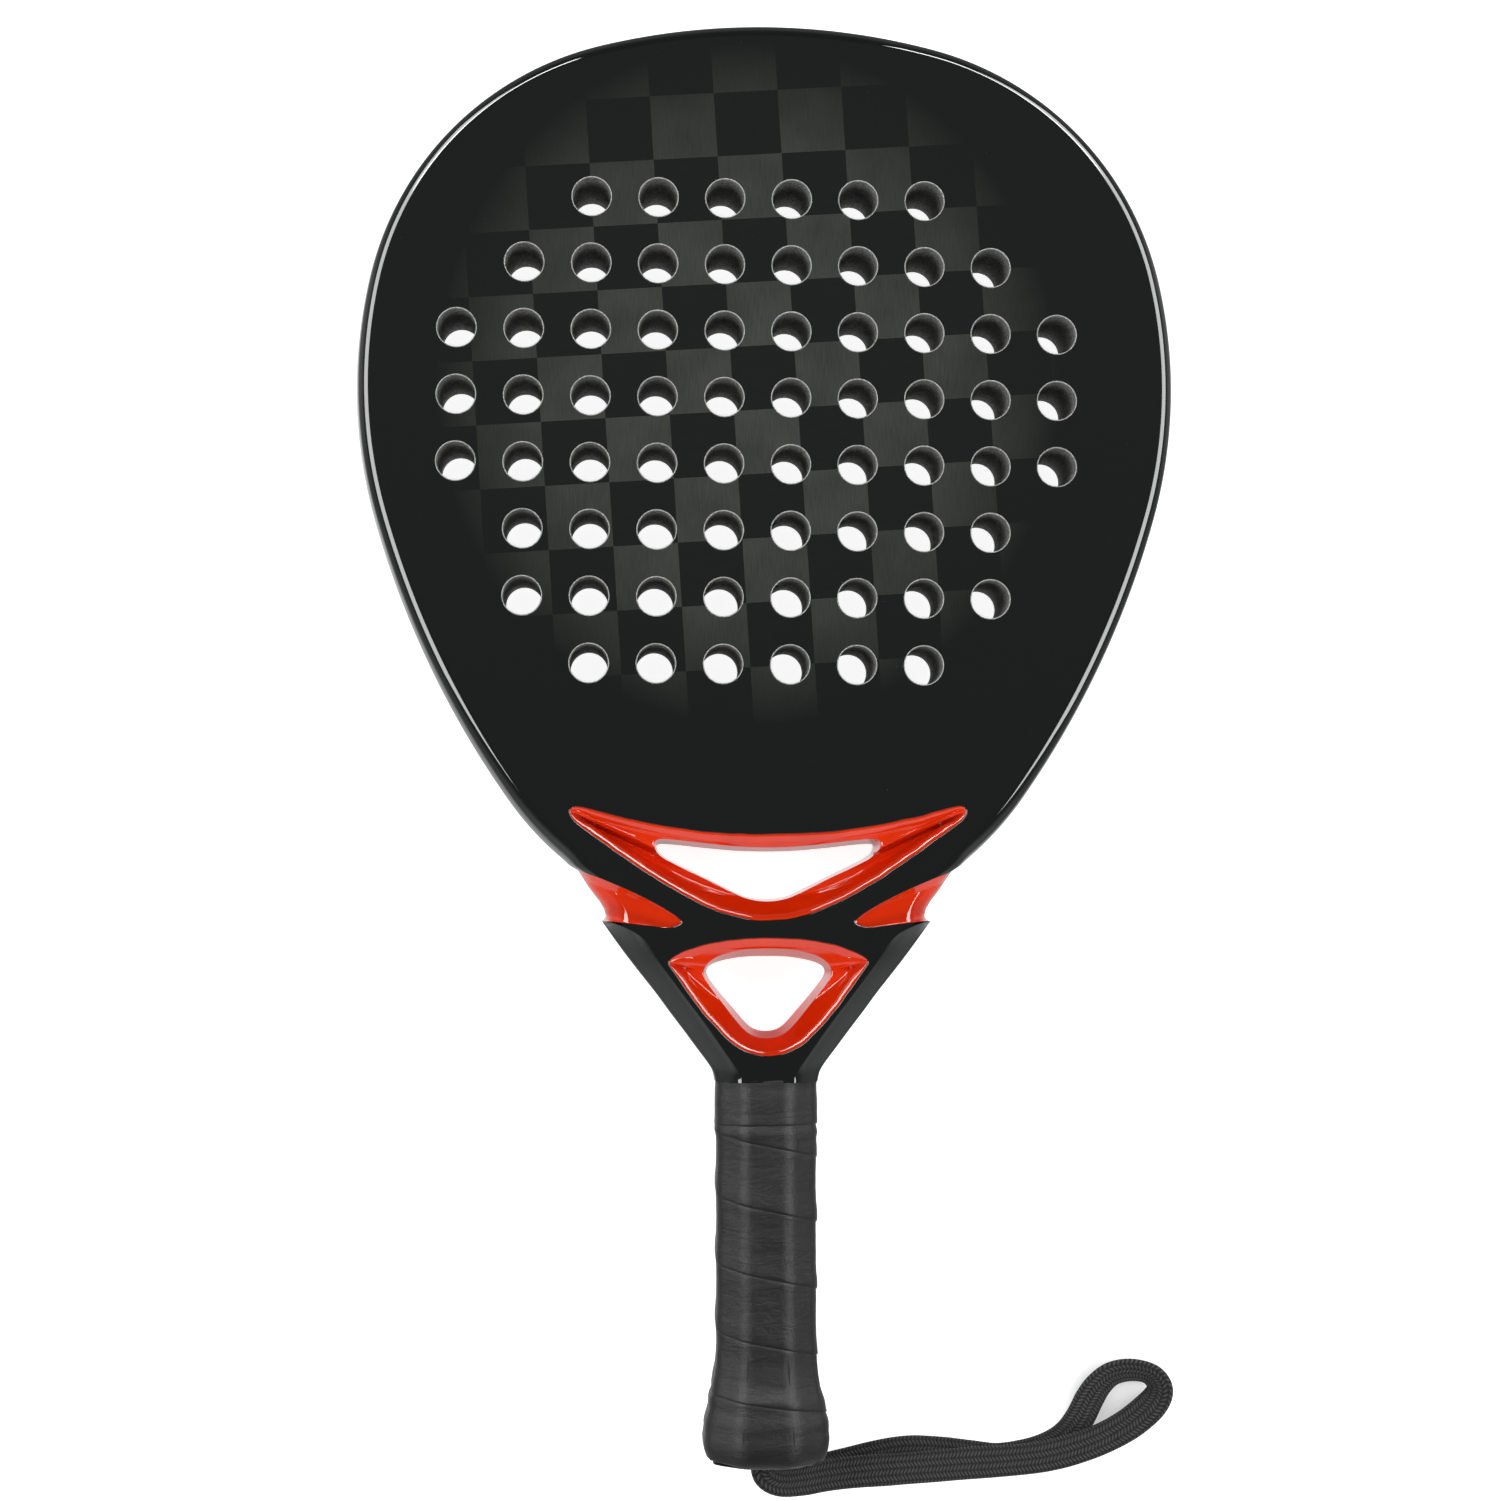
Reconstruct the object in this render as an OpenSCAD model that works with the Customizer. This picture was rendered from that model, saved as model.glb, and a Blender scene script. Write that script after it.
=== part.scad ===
// Padel racket: a hollow hoop round a drilled foam core with a laminate on each face, an open
// throat with red liners, and a wrapped handle with a wrist strap. Millimetres.
// It lies on its back face: +Z points up out of the front face and +Y to the head's top.

/* [Head] */
// Thickness from face to face
head_t = 38; // [36:0.5:38]
// Y of the head's top
top_y = 227.5; // [227:0.5:228]
// Outline radius at the top
top_r = 214.7; // [210:0.1:220]
// Angle that the top arc turns through
top_turn = 14.4; // [14:0.1:15]
// Outline radius at the upper corners
corner_r = 100; // [99:0.5:101]
// Angle that the corner arc turns through
corner_turn = 62.8; // [62.3:0.1:63.3]
// Outline radius at the widest part
side_r = 154.2; // [152:0.1:156]
// Angle that the side arc turns through
side_turn = 28.7; // [28.2:0.1:29.2]
// Outline radius of the long lower flank
flank_r = 290.4; // [286:0.1:294]
// Angle that the flank arc turns through
flank_turn = 19.5; // [19:0.1:20]
// Outline radius of the heel above the side notch
heel_r = 98.4; // [96:0.1:100]
// Angle that the heel arc turns through
heel_turn = 19.1; // [18.5:0.1:19.5]
// Width of the hoop tube
tube_w = 11.5; // [11:0.25:12]
// Wall of the hoop tube
tube_wall = 2; // [1.5:0.25:2.5]
// Radius of the rim's rounded edges
rim_r = 4.2; // [3.5:0.1:5]
// How far the rim's side bulges at mid-height
rim_crown = 1.2; // [0.5:0.1:2]
// Thickness of each face laminate
face_t = 1.2; // [0.8:0.1:1.6]
// Y of the core's lower edge, where the bridge starts
core_y = -14; // [-15:0.5:-12]

/* [Holes] */
// Distance between hole centres, both ways
hole_pitch = 21; // [20:0.1:21.5]
// Diameter of the holes
hole_d = 12; // [9:0.1:13]
// X of the middle of the hole field
hole_x = -3.2; // [-4:0.1:0]
// Y of the middle of the hole field
hole_y = 96.8; // [95:0.1:98]
// Turn of the hole field against the axis, in degrees
hole_turn = -0.3; // [-1:0.1:1]

/* [Windows] */
// Y of the upper window's top edge on the axis
upper_top_y = -30; // [-31:0.1:-29.5]
// Radius of the upper window's top edge
upper_top_r = 205; // [200:1:210]
// Y of the upper window's lowest point
upper_low_y = -56.7; // [-57:0.1:-56]
// Radius of the upper window's lower edge
upper_low_r = 50; // [48:1:52]
// Slope of the upper window's flanks
upper_slope = 33.4; // [33:0.1:34]
// Y of the lower window's top edge on the axis
lower_top_y = -62.3; // [-63:0.1:-62]
// Radius of the lower window's top edge
lower_top_r = 80; // [78:1:82]
// Y of the lower window's lowest point
lower_low_y = -99.1; // [-99.5:0.1:-99]
// Radius of the lower window's lowest point
lower_low_r = 20; // [19:0.5:21]
// Slope of the lower window's flanks
lower_slope = 52.5; // [52:0.1:53]
// Thickness of the red liners and notch panels
liner_t = 22; // [16:1:26]

/* [Handle] */
// Width of the wrapped handle
grip_w = 32; // [31:0.5:33]
// Depth of the wrapped handle
grip_d = 30; // [29:0.5:31]
// Width of the flat on the front of the handle
grip_flat = 14; // [12:0.5:16]
// Height of the flat on the side of the handle
grip_side = 14; // [12:0.5:16]
// Thickness of the outer wrap
wrap_t = 0.6; // [0.5:0.1:0.7]
// Thickness of the cushion grip under it
cushion_t = 1.6; // [1.2:0.1:1.6]
// Width of the flared butt
butt_w = 40; // [38:0.5:41]
// Depth of the flared butt
butt_d = 36; // [34:0.5:37]
// Y of the butt's end
butt_y = -227.5; // [-228:0.5:-227]

/* [Wrist strap] */
// Width of the flat braid
strap_w = 10.3; // [9:0.1:11]
// Thickness of the flat braid
strap_t = 2.6; // [2:0.1:2.8]

/* [Hidden] */

black = [0.10, 0.11, 0.11];
foam_grey = [0.30, 0.31, 0.31];
red = [0.82, 0.13, 0.04];
wrap_black = [0.19, 0.20, 0.20];
steel = [0.70, 0.71, 0.72];

gap = 0.1;                  // glue line between bonded pieces
mid_z = head_t / 2;
turn_step = 4.5;            // degrees between points on the outline
edge_steps = 3;             // facets on each rounded rim edge
arc_points = 12;            // points on each window arc
hole_rows = [6, 8, 10, 10, 10, 8, 8, 6];
arcs = [[top_r, top_turn], [corner_r, corner_turn], [side_r, side_turn],
    [flank_r, flank_turn], [heel_r, heel_turn]];

// ---- Outline of the head: tangent arcs from the top, as [x, y, heading] ----

function arc_end(p, r, a) =
    [p.x + r * (sin(p.z + a) - sin(p.z)), p.y + r * (cos(p.z + a) - cos(p.z)), p.z + a];
function arc_start(i) = i == 0 ? [0, top_y, 0] : arc_end(arc_start(i - 1), arcs[i - 1].x, arcs[i - 1].y);
function arc_steps(i) = ceil(arcs[i].y / turn_step);
rim_right = [
    for (i = [0:len(arcs) - 1])
        for (k = [0:arc_steps(i) - 1])
            arc_end(arc_start(i), arcs[i].x, arcs[i].y * k / arc_steps(i)),
    arc_start(len(arcs))
];
rim = [
    for (i = [len(rim_right) - 1:-1:1]) [-rim_right[i].x, rim_right[i].y, -rim_right[i].z],
    each rim_right
];
function inset(path, n) = [for (p = path) [p.x - n * sin(p.z), p.y - n * cos(p.z)]];
function reversed(list) = [for (i = [len(list) - 1:-1:0]) list[i]];

hoop_out = inset([arc_start(len(arcs))], 0)[0];        // outer corner of the hoop's end face
hoop_in = inset([arc_start(len(arcs))], tube_w)[0];    // its inner corner
shoulder = [51.9, -57.1];        // tip of the corner below the side notch
waist = [18.5, -101.6];          // where the leg's side meets the handle's curve
notch_top = [[29.6, -54.8], [35.6, -51.2], [43.5, -47.4], [51.5, -43.9]];  // the notch's upper edge
notch_tip = [27.1, -57];         // innermost point of the side notch
notch_low = [29.6, -58.8];       // start of the notch's lower edge
notch_edge = [[59.4, -41.2], [56.3, -46.2], [53.1, -50.3], [51.1, -53.5], [50.6, -55.1], [51.4, -56.6]];
notch_side = 64;                 // X that clears the notch's open side
leg_top = [0, -49.5];            // where the two legs meet above the bar
throat_end = -104.5;             // Y where the legs end and the handle's tubes begin
slope_start = -80;               // Y where the throat starts to thin
web_half = 20;                   // half the length of the bar between the windows
web_top = -45;                   // Y that clears the bar's upper side
web_low = -70;                   // Y that clears the bar's lower side
side_half = 6;                   // half the height of the legs' upright side
slope_w = 8;                     // width of the sloped surface on the legs' outer sides
slope_skip = 8;                  // how far below the shoulder that surface starts
slope_l = 80;                    // length that clears the leg
cavity_at = [34, -72];           // upper end of the cavity in the leg
cavity = [28, 4, 20];            // its length, width and depth
upper_tip = [61.5, -15];         // X of the upper window's tips and a Y above them
upper_drop = 5;                  // how far the upper opening's top is below the window's
upper_corner = [[29.5, -38.2], [33.7, -35.2], [34.4, -33.4], [34, -31]];   // the opening's right corner
lower_tip = [31.2, -60];         // X of the lower window's tips and a Y above them
lower_corner = [[18.8, -73], [16.5, -70.2], [11.5, -68.6]];                // the opening's right corner

module to_back() {
    translate([0, 0, head_t])
        mirror([0, 0, 1])
            children();
}

module both_faces() {
    children();
    to_back() children();
}

module head_plan(n) {
    polygon(inset(rim, n));
}

module hoop_band(grow) {
    polygon(concat(inset(rim, -grow), reversed(inset(rim, tube_w + grow))));
}

module above(y) {
    translate([-200, y]) square([400, 400]);
}

// ---- Windows and notches in plan ----

function low_arc(y, r, slope) = [
    for (k = [-arc_points:arc_points])
        let (a = slope * k / arc_points)
            [r * sin(a), y + r - r * cos(a)]
];
function flank_end(y, r, slope, x) =
    [x, y + r - r * cos(slope) + (x - r * sin(slope)) * tan(slope)];

function mirrored(list) = [for (i = [len(list) - 1:-1:0]) [-list[i].x, list[i].y]];
function window_plan(low, tip) = concat([[-tip.x, tip.y]], low, [tip]);

module upper_window(grow) {
    end = flank_end(upper_low_y, upper_low_r, upper_slope, upper_tip.x);
    low = concat([[-end.x, end.y]], low_arc(upper_low_y, upper_low_r, upper_slope), [end]);
    difference() {
        translate([0, -grow])
            polygon(window_plan(low, upper_tip));
        translate([0, upper_top_y + upper_top_r])
            circle(r = upper_top_r - grow, $fn = 240);
        hoop_band(gap);
    }
}

// Lowest point of the upper opening, with the radius and the end slope of its lower edge
upper_opening_y = -50.1;
upper_opening_r = 20;
upper_opening_slope = 26;

module upper_opening() {
    low = low_arc(upper_opening_y, upper_opening_r, upper_opening_slope);
    difference() {
        polygon(concat(mirrored(upper_corner), low, upper_corner));
        translate([0, upper_top_y - upper_drop + upper_top_r])
            circle(r = upper_top_r, $fn = 240);
    }
}

module lower_window(grow) {
    end = flank_end(lower_low_y, lower_low_r, lower_slope, lower_tip.x);
    arc = low_arc(lower_low_y, lower_low_r + grow, lower_slope);
    intersection() {
        translate([0, -grow])
            polygon(window_plan(concat([[-end.x, end.y]], arc, [end]), lower_tip));
        translate([0, lower_top_y - lower_top_r])
            circle(r = lower_top_r + grow, $fn = 180);
    }
}

// Lowest point of the lower opening, with the radius and the end slope of its lower edge
lower_opening_y = -91.8;
lower_opening_r = 6;
lower_opening_slope = 48;

module lower_opening() {
    low = low_arc(lower_opening_y, lower_opening_r, lower_opening_slope);
    polygon(concat(mirrored(lower_corner), low, lower_corner));
}

// The right side notch: a wedge that runs in from between the hoop's end and the shoulder
module notch(grow) {
    polygon(concat(
        [notch_tip + [-grow, 0]],
        [for (p = notch_top) p + [-grow / 2, grow]],
        [hoop_out + [0, grow], [notch_side, hoop_out.y + grow], [notch_side, shoulder.y + 0.5 - grow]],
        [shoulder + [0, 0.5 - grow], notch_low + [-grow / 2, -grow]]
    ));
}

// ---- Head ----

function edge_arc(cx, cy, r, from) = [
    for (k = [0:edge_steps])
        let (a = from - 90 * k / edge_steps)
            [cx + r * cos(a), cy + r * sin(a)]
];
// Section of the hoop as [inset, z], at a distance t inside its surface
function hoop_section(t) = concat(
    edge_arc(rim_crown + rim_r, rim_r, rim_r - t, 270),
    [for (z = [-7, 0, 7]) [t + rim_crown * pow(z / (mid_z - rim_r), 2), mid_z + z]],
    edge_arc(rim_crown + rim_r, head_t - rim_r, rim_r - t, 180),
    [[tube_w - t, head_t - t], [tube_w - t, t]]
);
function place(p, s) = [p.x - s.x * sin(p.z), p.y - s.x * cos(p.z), s.y];

// A hollow tube through rings of points: each ring holds the outer loop, then the inner one
module hollow_sweep(outer, inner) {
    n = len(outer[0]);
    rings = len(outer);
    ring = 2 * n;
    points = [for (i = [0:rings - 1]) each concat(outer[i], inner[i])];
    last = (rings - 1) * ring;
    walls = [
        for (a = [0:ring:last - ring])
            for (k = [0:n - 1])
                let (m = (k + 1) % n, b = a + ring)
                    each [[a + k, a + m, b + m, b + k], [a + n + m, a + n + k, b + n + k, b + n + m]]
    ];
    ends = [
        for (k = [0:n - 1])
            let (m = (k + 1) % n)
                each [[m, k, n + k, n + m], [last + k, last + m, last + n + m, last + n + k]]
    ];
    polyhedron(points, concat(walls, ends));
}

module head_hoop() {
    color(black)
        hollow_sweep([for (p = rim) [for (s = hoop_section(0)) place(p, s)]],
            [for (p = rim) [for (s = hoop_section(tube_wall)) place(p, s)]]);
}

module holes() {
    last_row = len(hole_rows) - 1;
    translate([hole_x, hole_y, -1])
        rotate([0, 0, hole_turn])
            for (row = [0:last_row])
                for (k = [0:hole_rows[row] - 1])
                    translate([k - (hole_rows[row] - 1) / 2, last_row / 2 - row] * hole_pitch)
                        cylinder(d = hole_d, h = head_t + 2, $fn = 48);
}

module drilled_plate(z, t) {
    difference() {
        translate([0, 0, z])
            linear_extrude(t)
                intersection() {
                    head_plan(tube_w + gap);
                    above(core_y);
                }
        holes();
    }
}

module foam_core() {
    color(foam_grey) drilled_plate(face_t, head_t - 2 * face_t);
}

module front_face() {
    color(black) drilled_plate(head_t - face_t, face_t);
}

module back_face() {
    color(black) drilled_plate(0, face_t);
}

module head_bridge() {
    color(black)
        linear_extrude(head_t)
            intersection() {
                difference() {
                    head_plan(tube_w + gap);
                    above(core_y - gap);
                }
                translate([0, upper_top_y + upper_top_r])
                    circle(r = upper_top_r - gap, $fn = 240);
            }
}

// ---- Throat ----

// Wedge that slopes the leg's outer side towards one face
module side_slope() {
    run = waist - shoulder;
    translate([shoulder.x, shoulder.y, 0])
        rotate([0, 0, atan2(run.y, run.x)])
            translate([slope_skip, 0, 0])
                rotate([90, 0, 90])
                    linear_extrude(slope_l)
                        polygon([[1, mid_z + side_half], [-slope_w, head_t],
                            [-slope_w, head_t + 1], [1, head_t + 1]]);
}

// Wedge that thins the legs towards the handle
module end_slope() {
    low = mid_z + grip_d / 2;
    rotate([90, 0, 90])
        linear_extrude(slope_l)
            polygon([[slope_start, head_t], [throat_end, low], [throat_end - 1, low],
                [throat_end - 1, head_t + 1], [slope_start, head_t + 1]]);
}

module leg_cavity() {
    run = waist - shoulder;
    translate([cavity_at.x, cavity_at.y, mid_z])
        rotate([0, 0, atan2(run.y, run.x)])
            translate([0, -cavity.y / 2, -cavity.z / 2])
                cube(cavity);
}

module leg_plan() {
    difference() {
        polygon([leg_top + [gap / 2, 0], hoop_in, hoop_out, shoulder, waist,
            [grip_w / 2, throat_end], [gap / 2, throat_end]]);
        hoop_band(gap / 2);
        upper_window(gap);
        lower_window(gap);
        notch(0);
        translate([-1, web_low])
            square([web_half + 1, web_top - web_low]);
    }
}

module leg() {
    difference() {
        linear_extrude(head_t) leg_plan();
        both_faces() {
            side_slope();
            end_slope();
        }
        leg_cavity();
    }
}

module right_throat_leg() {
    color(black) leg();
}

module left_throat_leg() {
    color(black) mirror([1, 0, 0]) leg();
}

module throat_web() {
    color(black)
        linear_extrude(head_t)
            difference() {
                translate([gap - web_half, web_low])
                    square([2 * (web_half - gap), web_top - web_low]);
                upper_window(gap);
                translate([0, lower_top_y - lower_top_r])
                    circle(r = lower_top_r + gap, $fn = 180);
            }
}

module liner_plate() {
    translate([0, 0, mid_z - liner_t / 2])
        linear_extrude(liner_t)
            children();
}

module upper_window_liner() {
    color(red)
        liner_plate()
            difference() {
                upper_window(0);
                upper_opening();
            }
}

module lower_window_liner() {
    color(red)
        liner_plate()
            difference() {
                lower_window(0);
                lower_opening();
            }
}

module notch_panel() {
    liner_plate()
        difference() {
            intersection() {
                notch(-gap);
                polygon(concat([[0, hoop_out.y + 2]], [notch_edge[0] + [1, 2]], notch_edge, [[0, web_low]]));
            }
            hoop_band(gap);
        }
}

module right_notch_panel() {
    color(red) notch_panel();
}

module left_notch_panel() {
    color(red) mirror([1, 0, 0]) notch_panel();
}

// ---- Handle ----

pallet_end = -200;               // Y of the pallets' and tubes' lower end
skirt_y = -190;                  // Y of the butt cap's open end
band_top = -105.9;               // Y of the finishing band's top
band_end = -121.1;               // Y of the finishing band's lower edge
tube_half_w = 8;                 // half-width of the pair of handle tubes
tube_half_d = 6.5;               // half-depth of the handle tubes
handle_wall = 1.4;               // wall of the handle tubes
skirt_t = 1.2;                   // wall of the butt cap's skirt
clear_l = 120;                   // size that clears the handle

// Eight-sided ring of the handle at one y, t inside the full size of width w and depth d
function octagon(y, w, d, t) = let (
        a = w / 2 - t,
        b = d / 2 - t,
        fx = a - (grip_w - grip_flat) / 2 * (w / grip_w),
        fz = b - (grip_d - grip_side) / 2 * (d / grip_d))
    [[fx, y, mid_z + b], [a, y, mid_z + fz], [a, y, mid_z - fz], [fx, y, mid_z - b],
        [-fx, y, mid_z - b], [-a, y, mid_z - fz], [-a, y, mid_z + fz], [-fx, y, mid_z + b]];
function rings(sizes, t) = [for (s = sizes) octagon(s.x, s.y, s.z, t)];

// Full size of the wrapped handle at each Y of the flare: [y, width, depth]
flare = [
    [skirt_y, grip_w, grip_d],
    [-203, 0.86 * butt_w, 0.88 * butt_d],
    [-211, 0.945 * butt_w, 0.955 * butt_d],
    [-215, 0.99 * butt_w, 0.99 * butt_d],
    [-219, butt_w, butt_d],
    [-222.5, 0.98 * butt_w, 0.985 * butt_d],
    [-225.5, 0.93 * butt_w, 0.94 * butt_d]
];

module octagon_block(y0, y1, t) {
    translate([0, y0, 0])
        rotate([90, 0, 0])
            linear_extrude(y0 - y1)
                polygon([for (p = octagon(0, grip_w, grip_d, t)) [p.x, p.z]]);
}

module handle_tube() {
    translate([0, pallet_end, mid_z])
        difference() {
            translate([gap / 2, 0, -tube_half_d])
                cube([tube_half_w - gap / 2, throat_end - gap - pallet_end, 2 * tube_half_d]);
            translate([handle_wall, -1, handle_wall - tube_half_d])
                cube([
                    tube_half_w - 2 * handle_wall,
                    throat_end - pallet_end,
                    2 * (tube_half_d - handle_wall)
                ]);
        }
}

module right_handle_tube() {
    color(black) handle_tube();
}

module left_handle_tube() {
    color(black) mirror([1, 0, 0]) handle_tube();
}

// Height of the staples, the thickness of their wire, and the width and depth of each
staple_y = -195;
staple_wire = 0.9;
staple_span = 8;
staple_leg = 4;

// One staple on the front, its crown on the skirt and its legs down into the pallet
module staple(grow) {
    top = mid_z + grip_d / 2 - wrap_t - cushion_t - 0.2;
    wire = staple_wire + 2 * grow;
    for (side = [-1, 1])
        translate([side * staple_span / 2 - wire / 2, staple_y - wire / 2, top - staple_leg - grow])
            cube([wire, wire, staple_leg + grow]);
    translate([-staple_span / 2 - wire / 2, staple_y - wire / 2, top - wire])
        cube([staple_span + wire, wire, wire]);
}

module pallet() {
    inner = wrap_t + cushion_t + 2 * gap;
    difference() {
        union() {
            octagon_block(throat_end - gap, skirt_y + gap, inner);
            octagon_block(skirt_y + gap, pallet_end, inner + skirt_t + gap);
        }
        translate([-tube_half_w - gap, pallet_end - 1, mid_z - tube_half_d - gap])
            cube([2 * (tube_half_w + gap), clear_l, 2 * (tube_half_d + gap)]);
        translate([-clear_l / 2, pallet_end - 1, mid_z + gap / 2 - clear_l])
            cube([clear_l, clear_l, clear_l]);
        staple(gap);
    }
}

module front_pallet() {
    color(foam_grey) pallet();
}

module back_pallet() {
    color(foam_grey)
        to_back()
            pallet();
}

// Y of the cushion grip's upper end
base_top = -108;

module base_grip() {
    outer = wrap_t + gap;
    sizes = concat([[base_top, grip_w, grip_d]], flare);
    color(wrap_black)
        hollow_sweep(rings(sizes, outer), rings(sizes, outer + cushion_t));
}

module overgrip() {
    sizes = concat([[band_end - gap, grip_w, grip_d]], flare);
    color(wrap_black)
        hollow_sweep(rings(sizes, 0), rings(sizes, wrap_t));
}

module grip_band() {
    color(wrap_black)
        difference() {
            octagon_block(band_top, band_end, -0.2);
            octagon_block(band_top + 1, band_end - 1, wrap_t);
        }
}

// Solid of the cap: a loft of the flare, t inside the wrap's surface
module butt_body(t) {
    sizes = concat(flare, [[butt_y, 0.78 * butt_w, 0.78 * butt_d]]);
    for (i = [0:len(sizes) - 2])
        hull()
            polyhedron(concat(octagon(sizes[i].x, sizes[i].y, sizes[i].z, t),
                octagon(sizes[i + 1].x, sizes[i + 1].y, sizes[i + 1].z, t)),
                [[0, 1, 2, 3, 4, 5, 6, 7], [15, 14, 13, 12, 11, 10, 9, 8],
                for (k = [0:7]) [k, k + 8, (k + 1) % 8 + 8, (k + 1) % 8]]);
}

cap_wall_y = -222.5;             // Y of the inside of the cap's end wall
slot_w = 12;                     // width of the strap's slot
slot_h = 8.4;                    // height of the strap's slot

module butt_cap() {
    color(black)
        difference() {
            butt_body(wrap_t + cushion_t + 2 * gap);
            octagon_block(skirt_y + 1, pallet_end - gap, wrap_t + cushion_t + 2 * gap + skirt_t);
            translate([-9, cap_wall_y, mid_z - 8])
                cube([18, 30, 16]);
            translate([-slot_w / 2, butt_y - 1, mid_z - slot_h / 2])
                cube([slot_w, 10, slot_h]);
            both_faces()
                staple(gap);
        }
}

module butt_staples() {
    color(steel)
        both_faces()
            staple(0);
}

// ---- Wrist strap ----

// Route of the strap's middle, out of the cap, round the loop and back: [x, y, z, tilt].
// Tilt leans the braid's outer edge up, in degrees.
strap_route = [
    [0, -221, 21.3, 0], [0, -226.5, 21.3, 0], [0.6, -231, 20.5, 0], [4.8, -233.6, 18, 0],
    [11.8, -234.1, 13.5, 0], [19.8, -233.6, 9.5, 0], [30.8, -233, 7.5, 10], [44.7, -232.3, 7, 20],
    [58.7, -231.4, 6.4, 10], [74.8, -230.5, 6, 0], [90.8, -228.9, 6, 0], [104.6, -225.3, 6, 0],
    [114.8, -220.6, 6, 4], [122.1, -215.6, 6, 14], [126.6, -211, 5.6, 34],
    [127.6, -206.8, 5.3, 46], [124.6, -203.2, 5.2, 46], [118.4, -201.9, 5.2, 40],
    [112.4, -203.1, 5, 34], [108.1, -206.6, 4.6, 26], [105.1, -211.2, 4, 16], [102.3, -217.2, 3, 8],
    [98.5, -222.7, 2, 0], [92.9, -226.6, 1.6, 0], [84.8, -229.4, 1.6, 0], [75.8, -230.5, 1.6, 0],
    [66.7, -229.3, 1.6, 0], [56.6, -228.2, 1.6, 0], [46.6, -227.9, 1.6, 0], [34.6, -229.5, 1.6, 0],
    [24.7, -231.6, 2.4, 0], [15.8, -233.6, 4.8, 0], [8.4, -234, 8.6, 0], [3.2, -232.6, 12.6, 0],
    [0.6, -229.8, 15.6, 0], [0, -226.5, 16.7, 0], [0, -221, 16.7, 0]
];
strap_sides = 8;

// Catmull-Rom point between route points 1 and 2 of four
function blend(a, b, c, d, t) =
    0.5 * (2 * b + (c - a) * t + (2 * a - 5 * b + 4 * c - d) * t * t + (3 * b - a - 3 * c + d) * t * t * t);
function route_point(i) = strap_route[max(0, min(len(strap_route) - 1, i))];
strap_path = [
    for (i = [0:len(strap_route) - 2])
        for (t = [0, 0.5])
            blend(route_point(i - 1), route_point(i), route_point(i + 1), route_point(i + 2), t),
    strap_route[len(strap_route) - 1]
];
function place_of(i) = [strap_path[i].x, strap_path[i].y, strap_path[i].z];
function unit(v) = v / norm(v);
function strap_ring(i) = let (
        last = len(strap_path) - 1,
        along = unit(place_of(min(last, i + 1)) - place_of(max(0, i - 1))),
        level = unit(cross(along, [0, 0, 1])),
        up = cross(level, along),
        tilt = strap_path[i][3],
        wide = level * cos(tilt) + up * sin(tilt),
        thick = up * cos(tilt) - level * sin(tilt))
    [
        for (k = [0:strap_sides - 1])
            let (a = 360 * (k + 0.5) / strap_sides, flat = pow(abs(cos(a) / cos(180 / strap_sides)), 0.4))
                place_of(i) + wide * strap_w / 2 * sign(cos(a)) * flat
                    + thick * strap_t / 2 * sin(a) / cos(180 / strap_sides)
    ];

module wrist_strap() {
    last = len(strap_path) - 1;
    n = strap_sides;
    color(black)
        polyhedron([for (i = [0:last]) each strap_ring(i)],
            concat([[for (k = [0:n - 1]) k]], [[for (k = [n - 1:-1:0]) last * n + k]], [
                for (a = [0:n:last * n - n])
                    for (k = [0:n - 1])
                        let (m = (k + 1) % n, b = a + n)
                            each [[a + k, b + k, b + m], [a + k, b + m, a + m]]
            ]));
}

// Barrel-shaped stopper at the strap's two ends, inside the cap
module strap_knot() {
    color(black)
        translate([0, strap_route[0].y + gap, mid_z])
            rotate([-90, 0, 0])
                rotate_extrude($fn = 48)
                    polygon([[0, 0], [5, 0], [6.5, 1.5], [7, 5], [6.5, 8.5], [5, 10], [0, 10]]);
}

head_hoop();
foam_core();
front_face();
back_face();
head_bridge();
left_throat_leg();
right_throat_leg();
throat_web();
upper_window_liner();
lower_window_liner();
left_notch_panel();
right_notch_panel();
left_handle_tube();
right_handle_tube();
front_pallet();
back_pallet();
base_grip();
overgrip();
grip_band();
butt_cap();
butt_staples();
strap_knot();
wrist_strap();
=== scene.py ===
"""Padel racket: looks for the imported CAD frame. Metres in the scene, millimetres in the shape functions."""
import math

import bmesh
import bpy
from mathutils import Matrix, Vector, noise
from mathutils.geometry import delaunay_2d_cdt


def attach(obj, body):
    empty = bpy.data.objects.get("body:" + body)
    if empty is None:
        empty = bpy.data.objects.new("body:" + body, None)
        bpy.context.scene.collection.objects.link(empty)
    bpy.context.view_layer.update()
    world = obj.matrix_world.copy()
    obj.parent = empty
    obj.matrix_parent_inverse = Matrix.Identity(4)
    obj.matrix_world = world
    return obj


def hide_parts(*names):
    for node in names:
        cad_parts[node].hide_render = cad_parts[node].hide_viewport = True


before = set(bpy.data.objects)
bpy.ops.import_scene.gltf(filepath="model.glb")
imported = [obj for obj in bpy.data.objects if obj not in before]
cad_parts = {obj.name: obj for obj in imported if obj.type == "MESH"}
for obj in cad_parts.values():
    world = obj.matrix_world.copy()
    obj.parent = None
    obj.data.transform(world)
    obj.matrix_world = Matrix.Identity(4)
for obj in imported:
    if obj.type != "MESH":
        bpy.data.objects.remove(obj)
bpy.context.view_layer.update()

MM = 0.001
scene = bpy.context.scene

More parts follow.
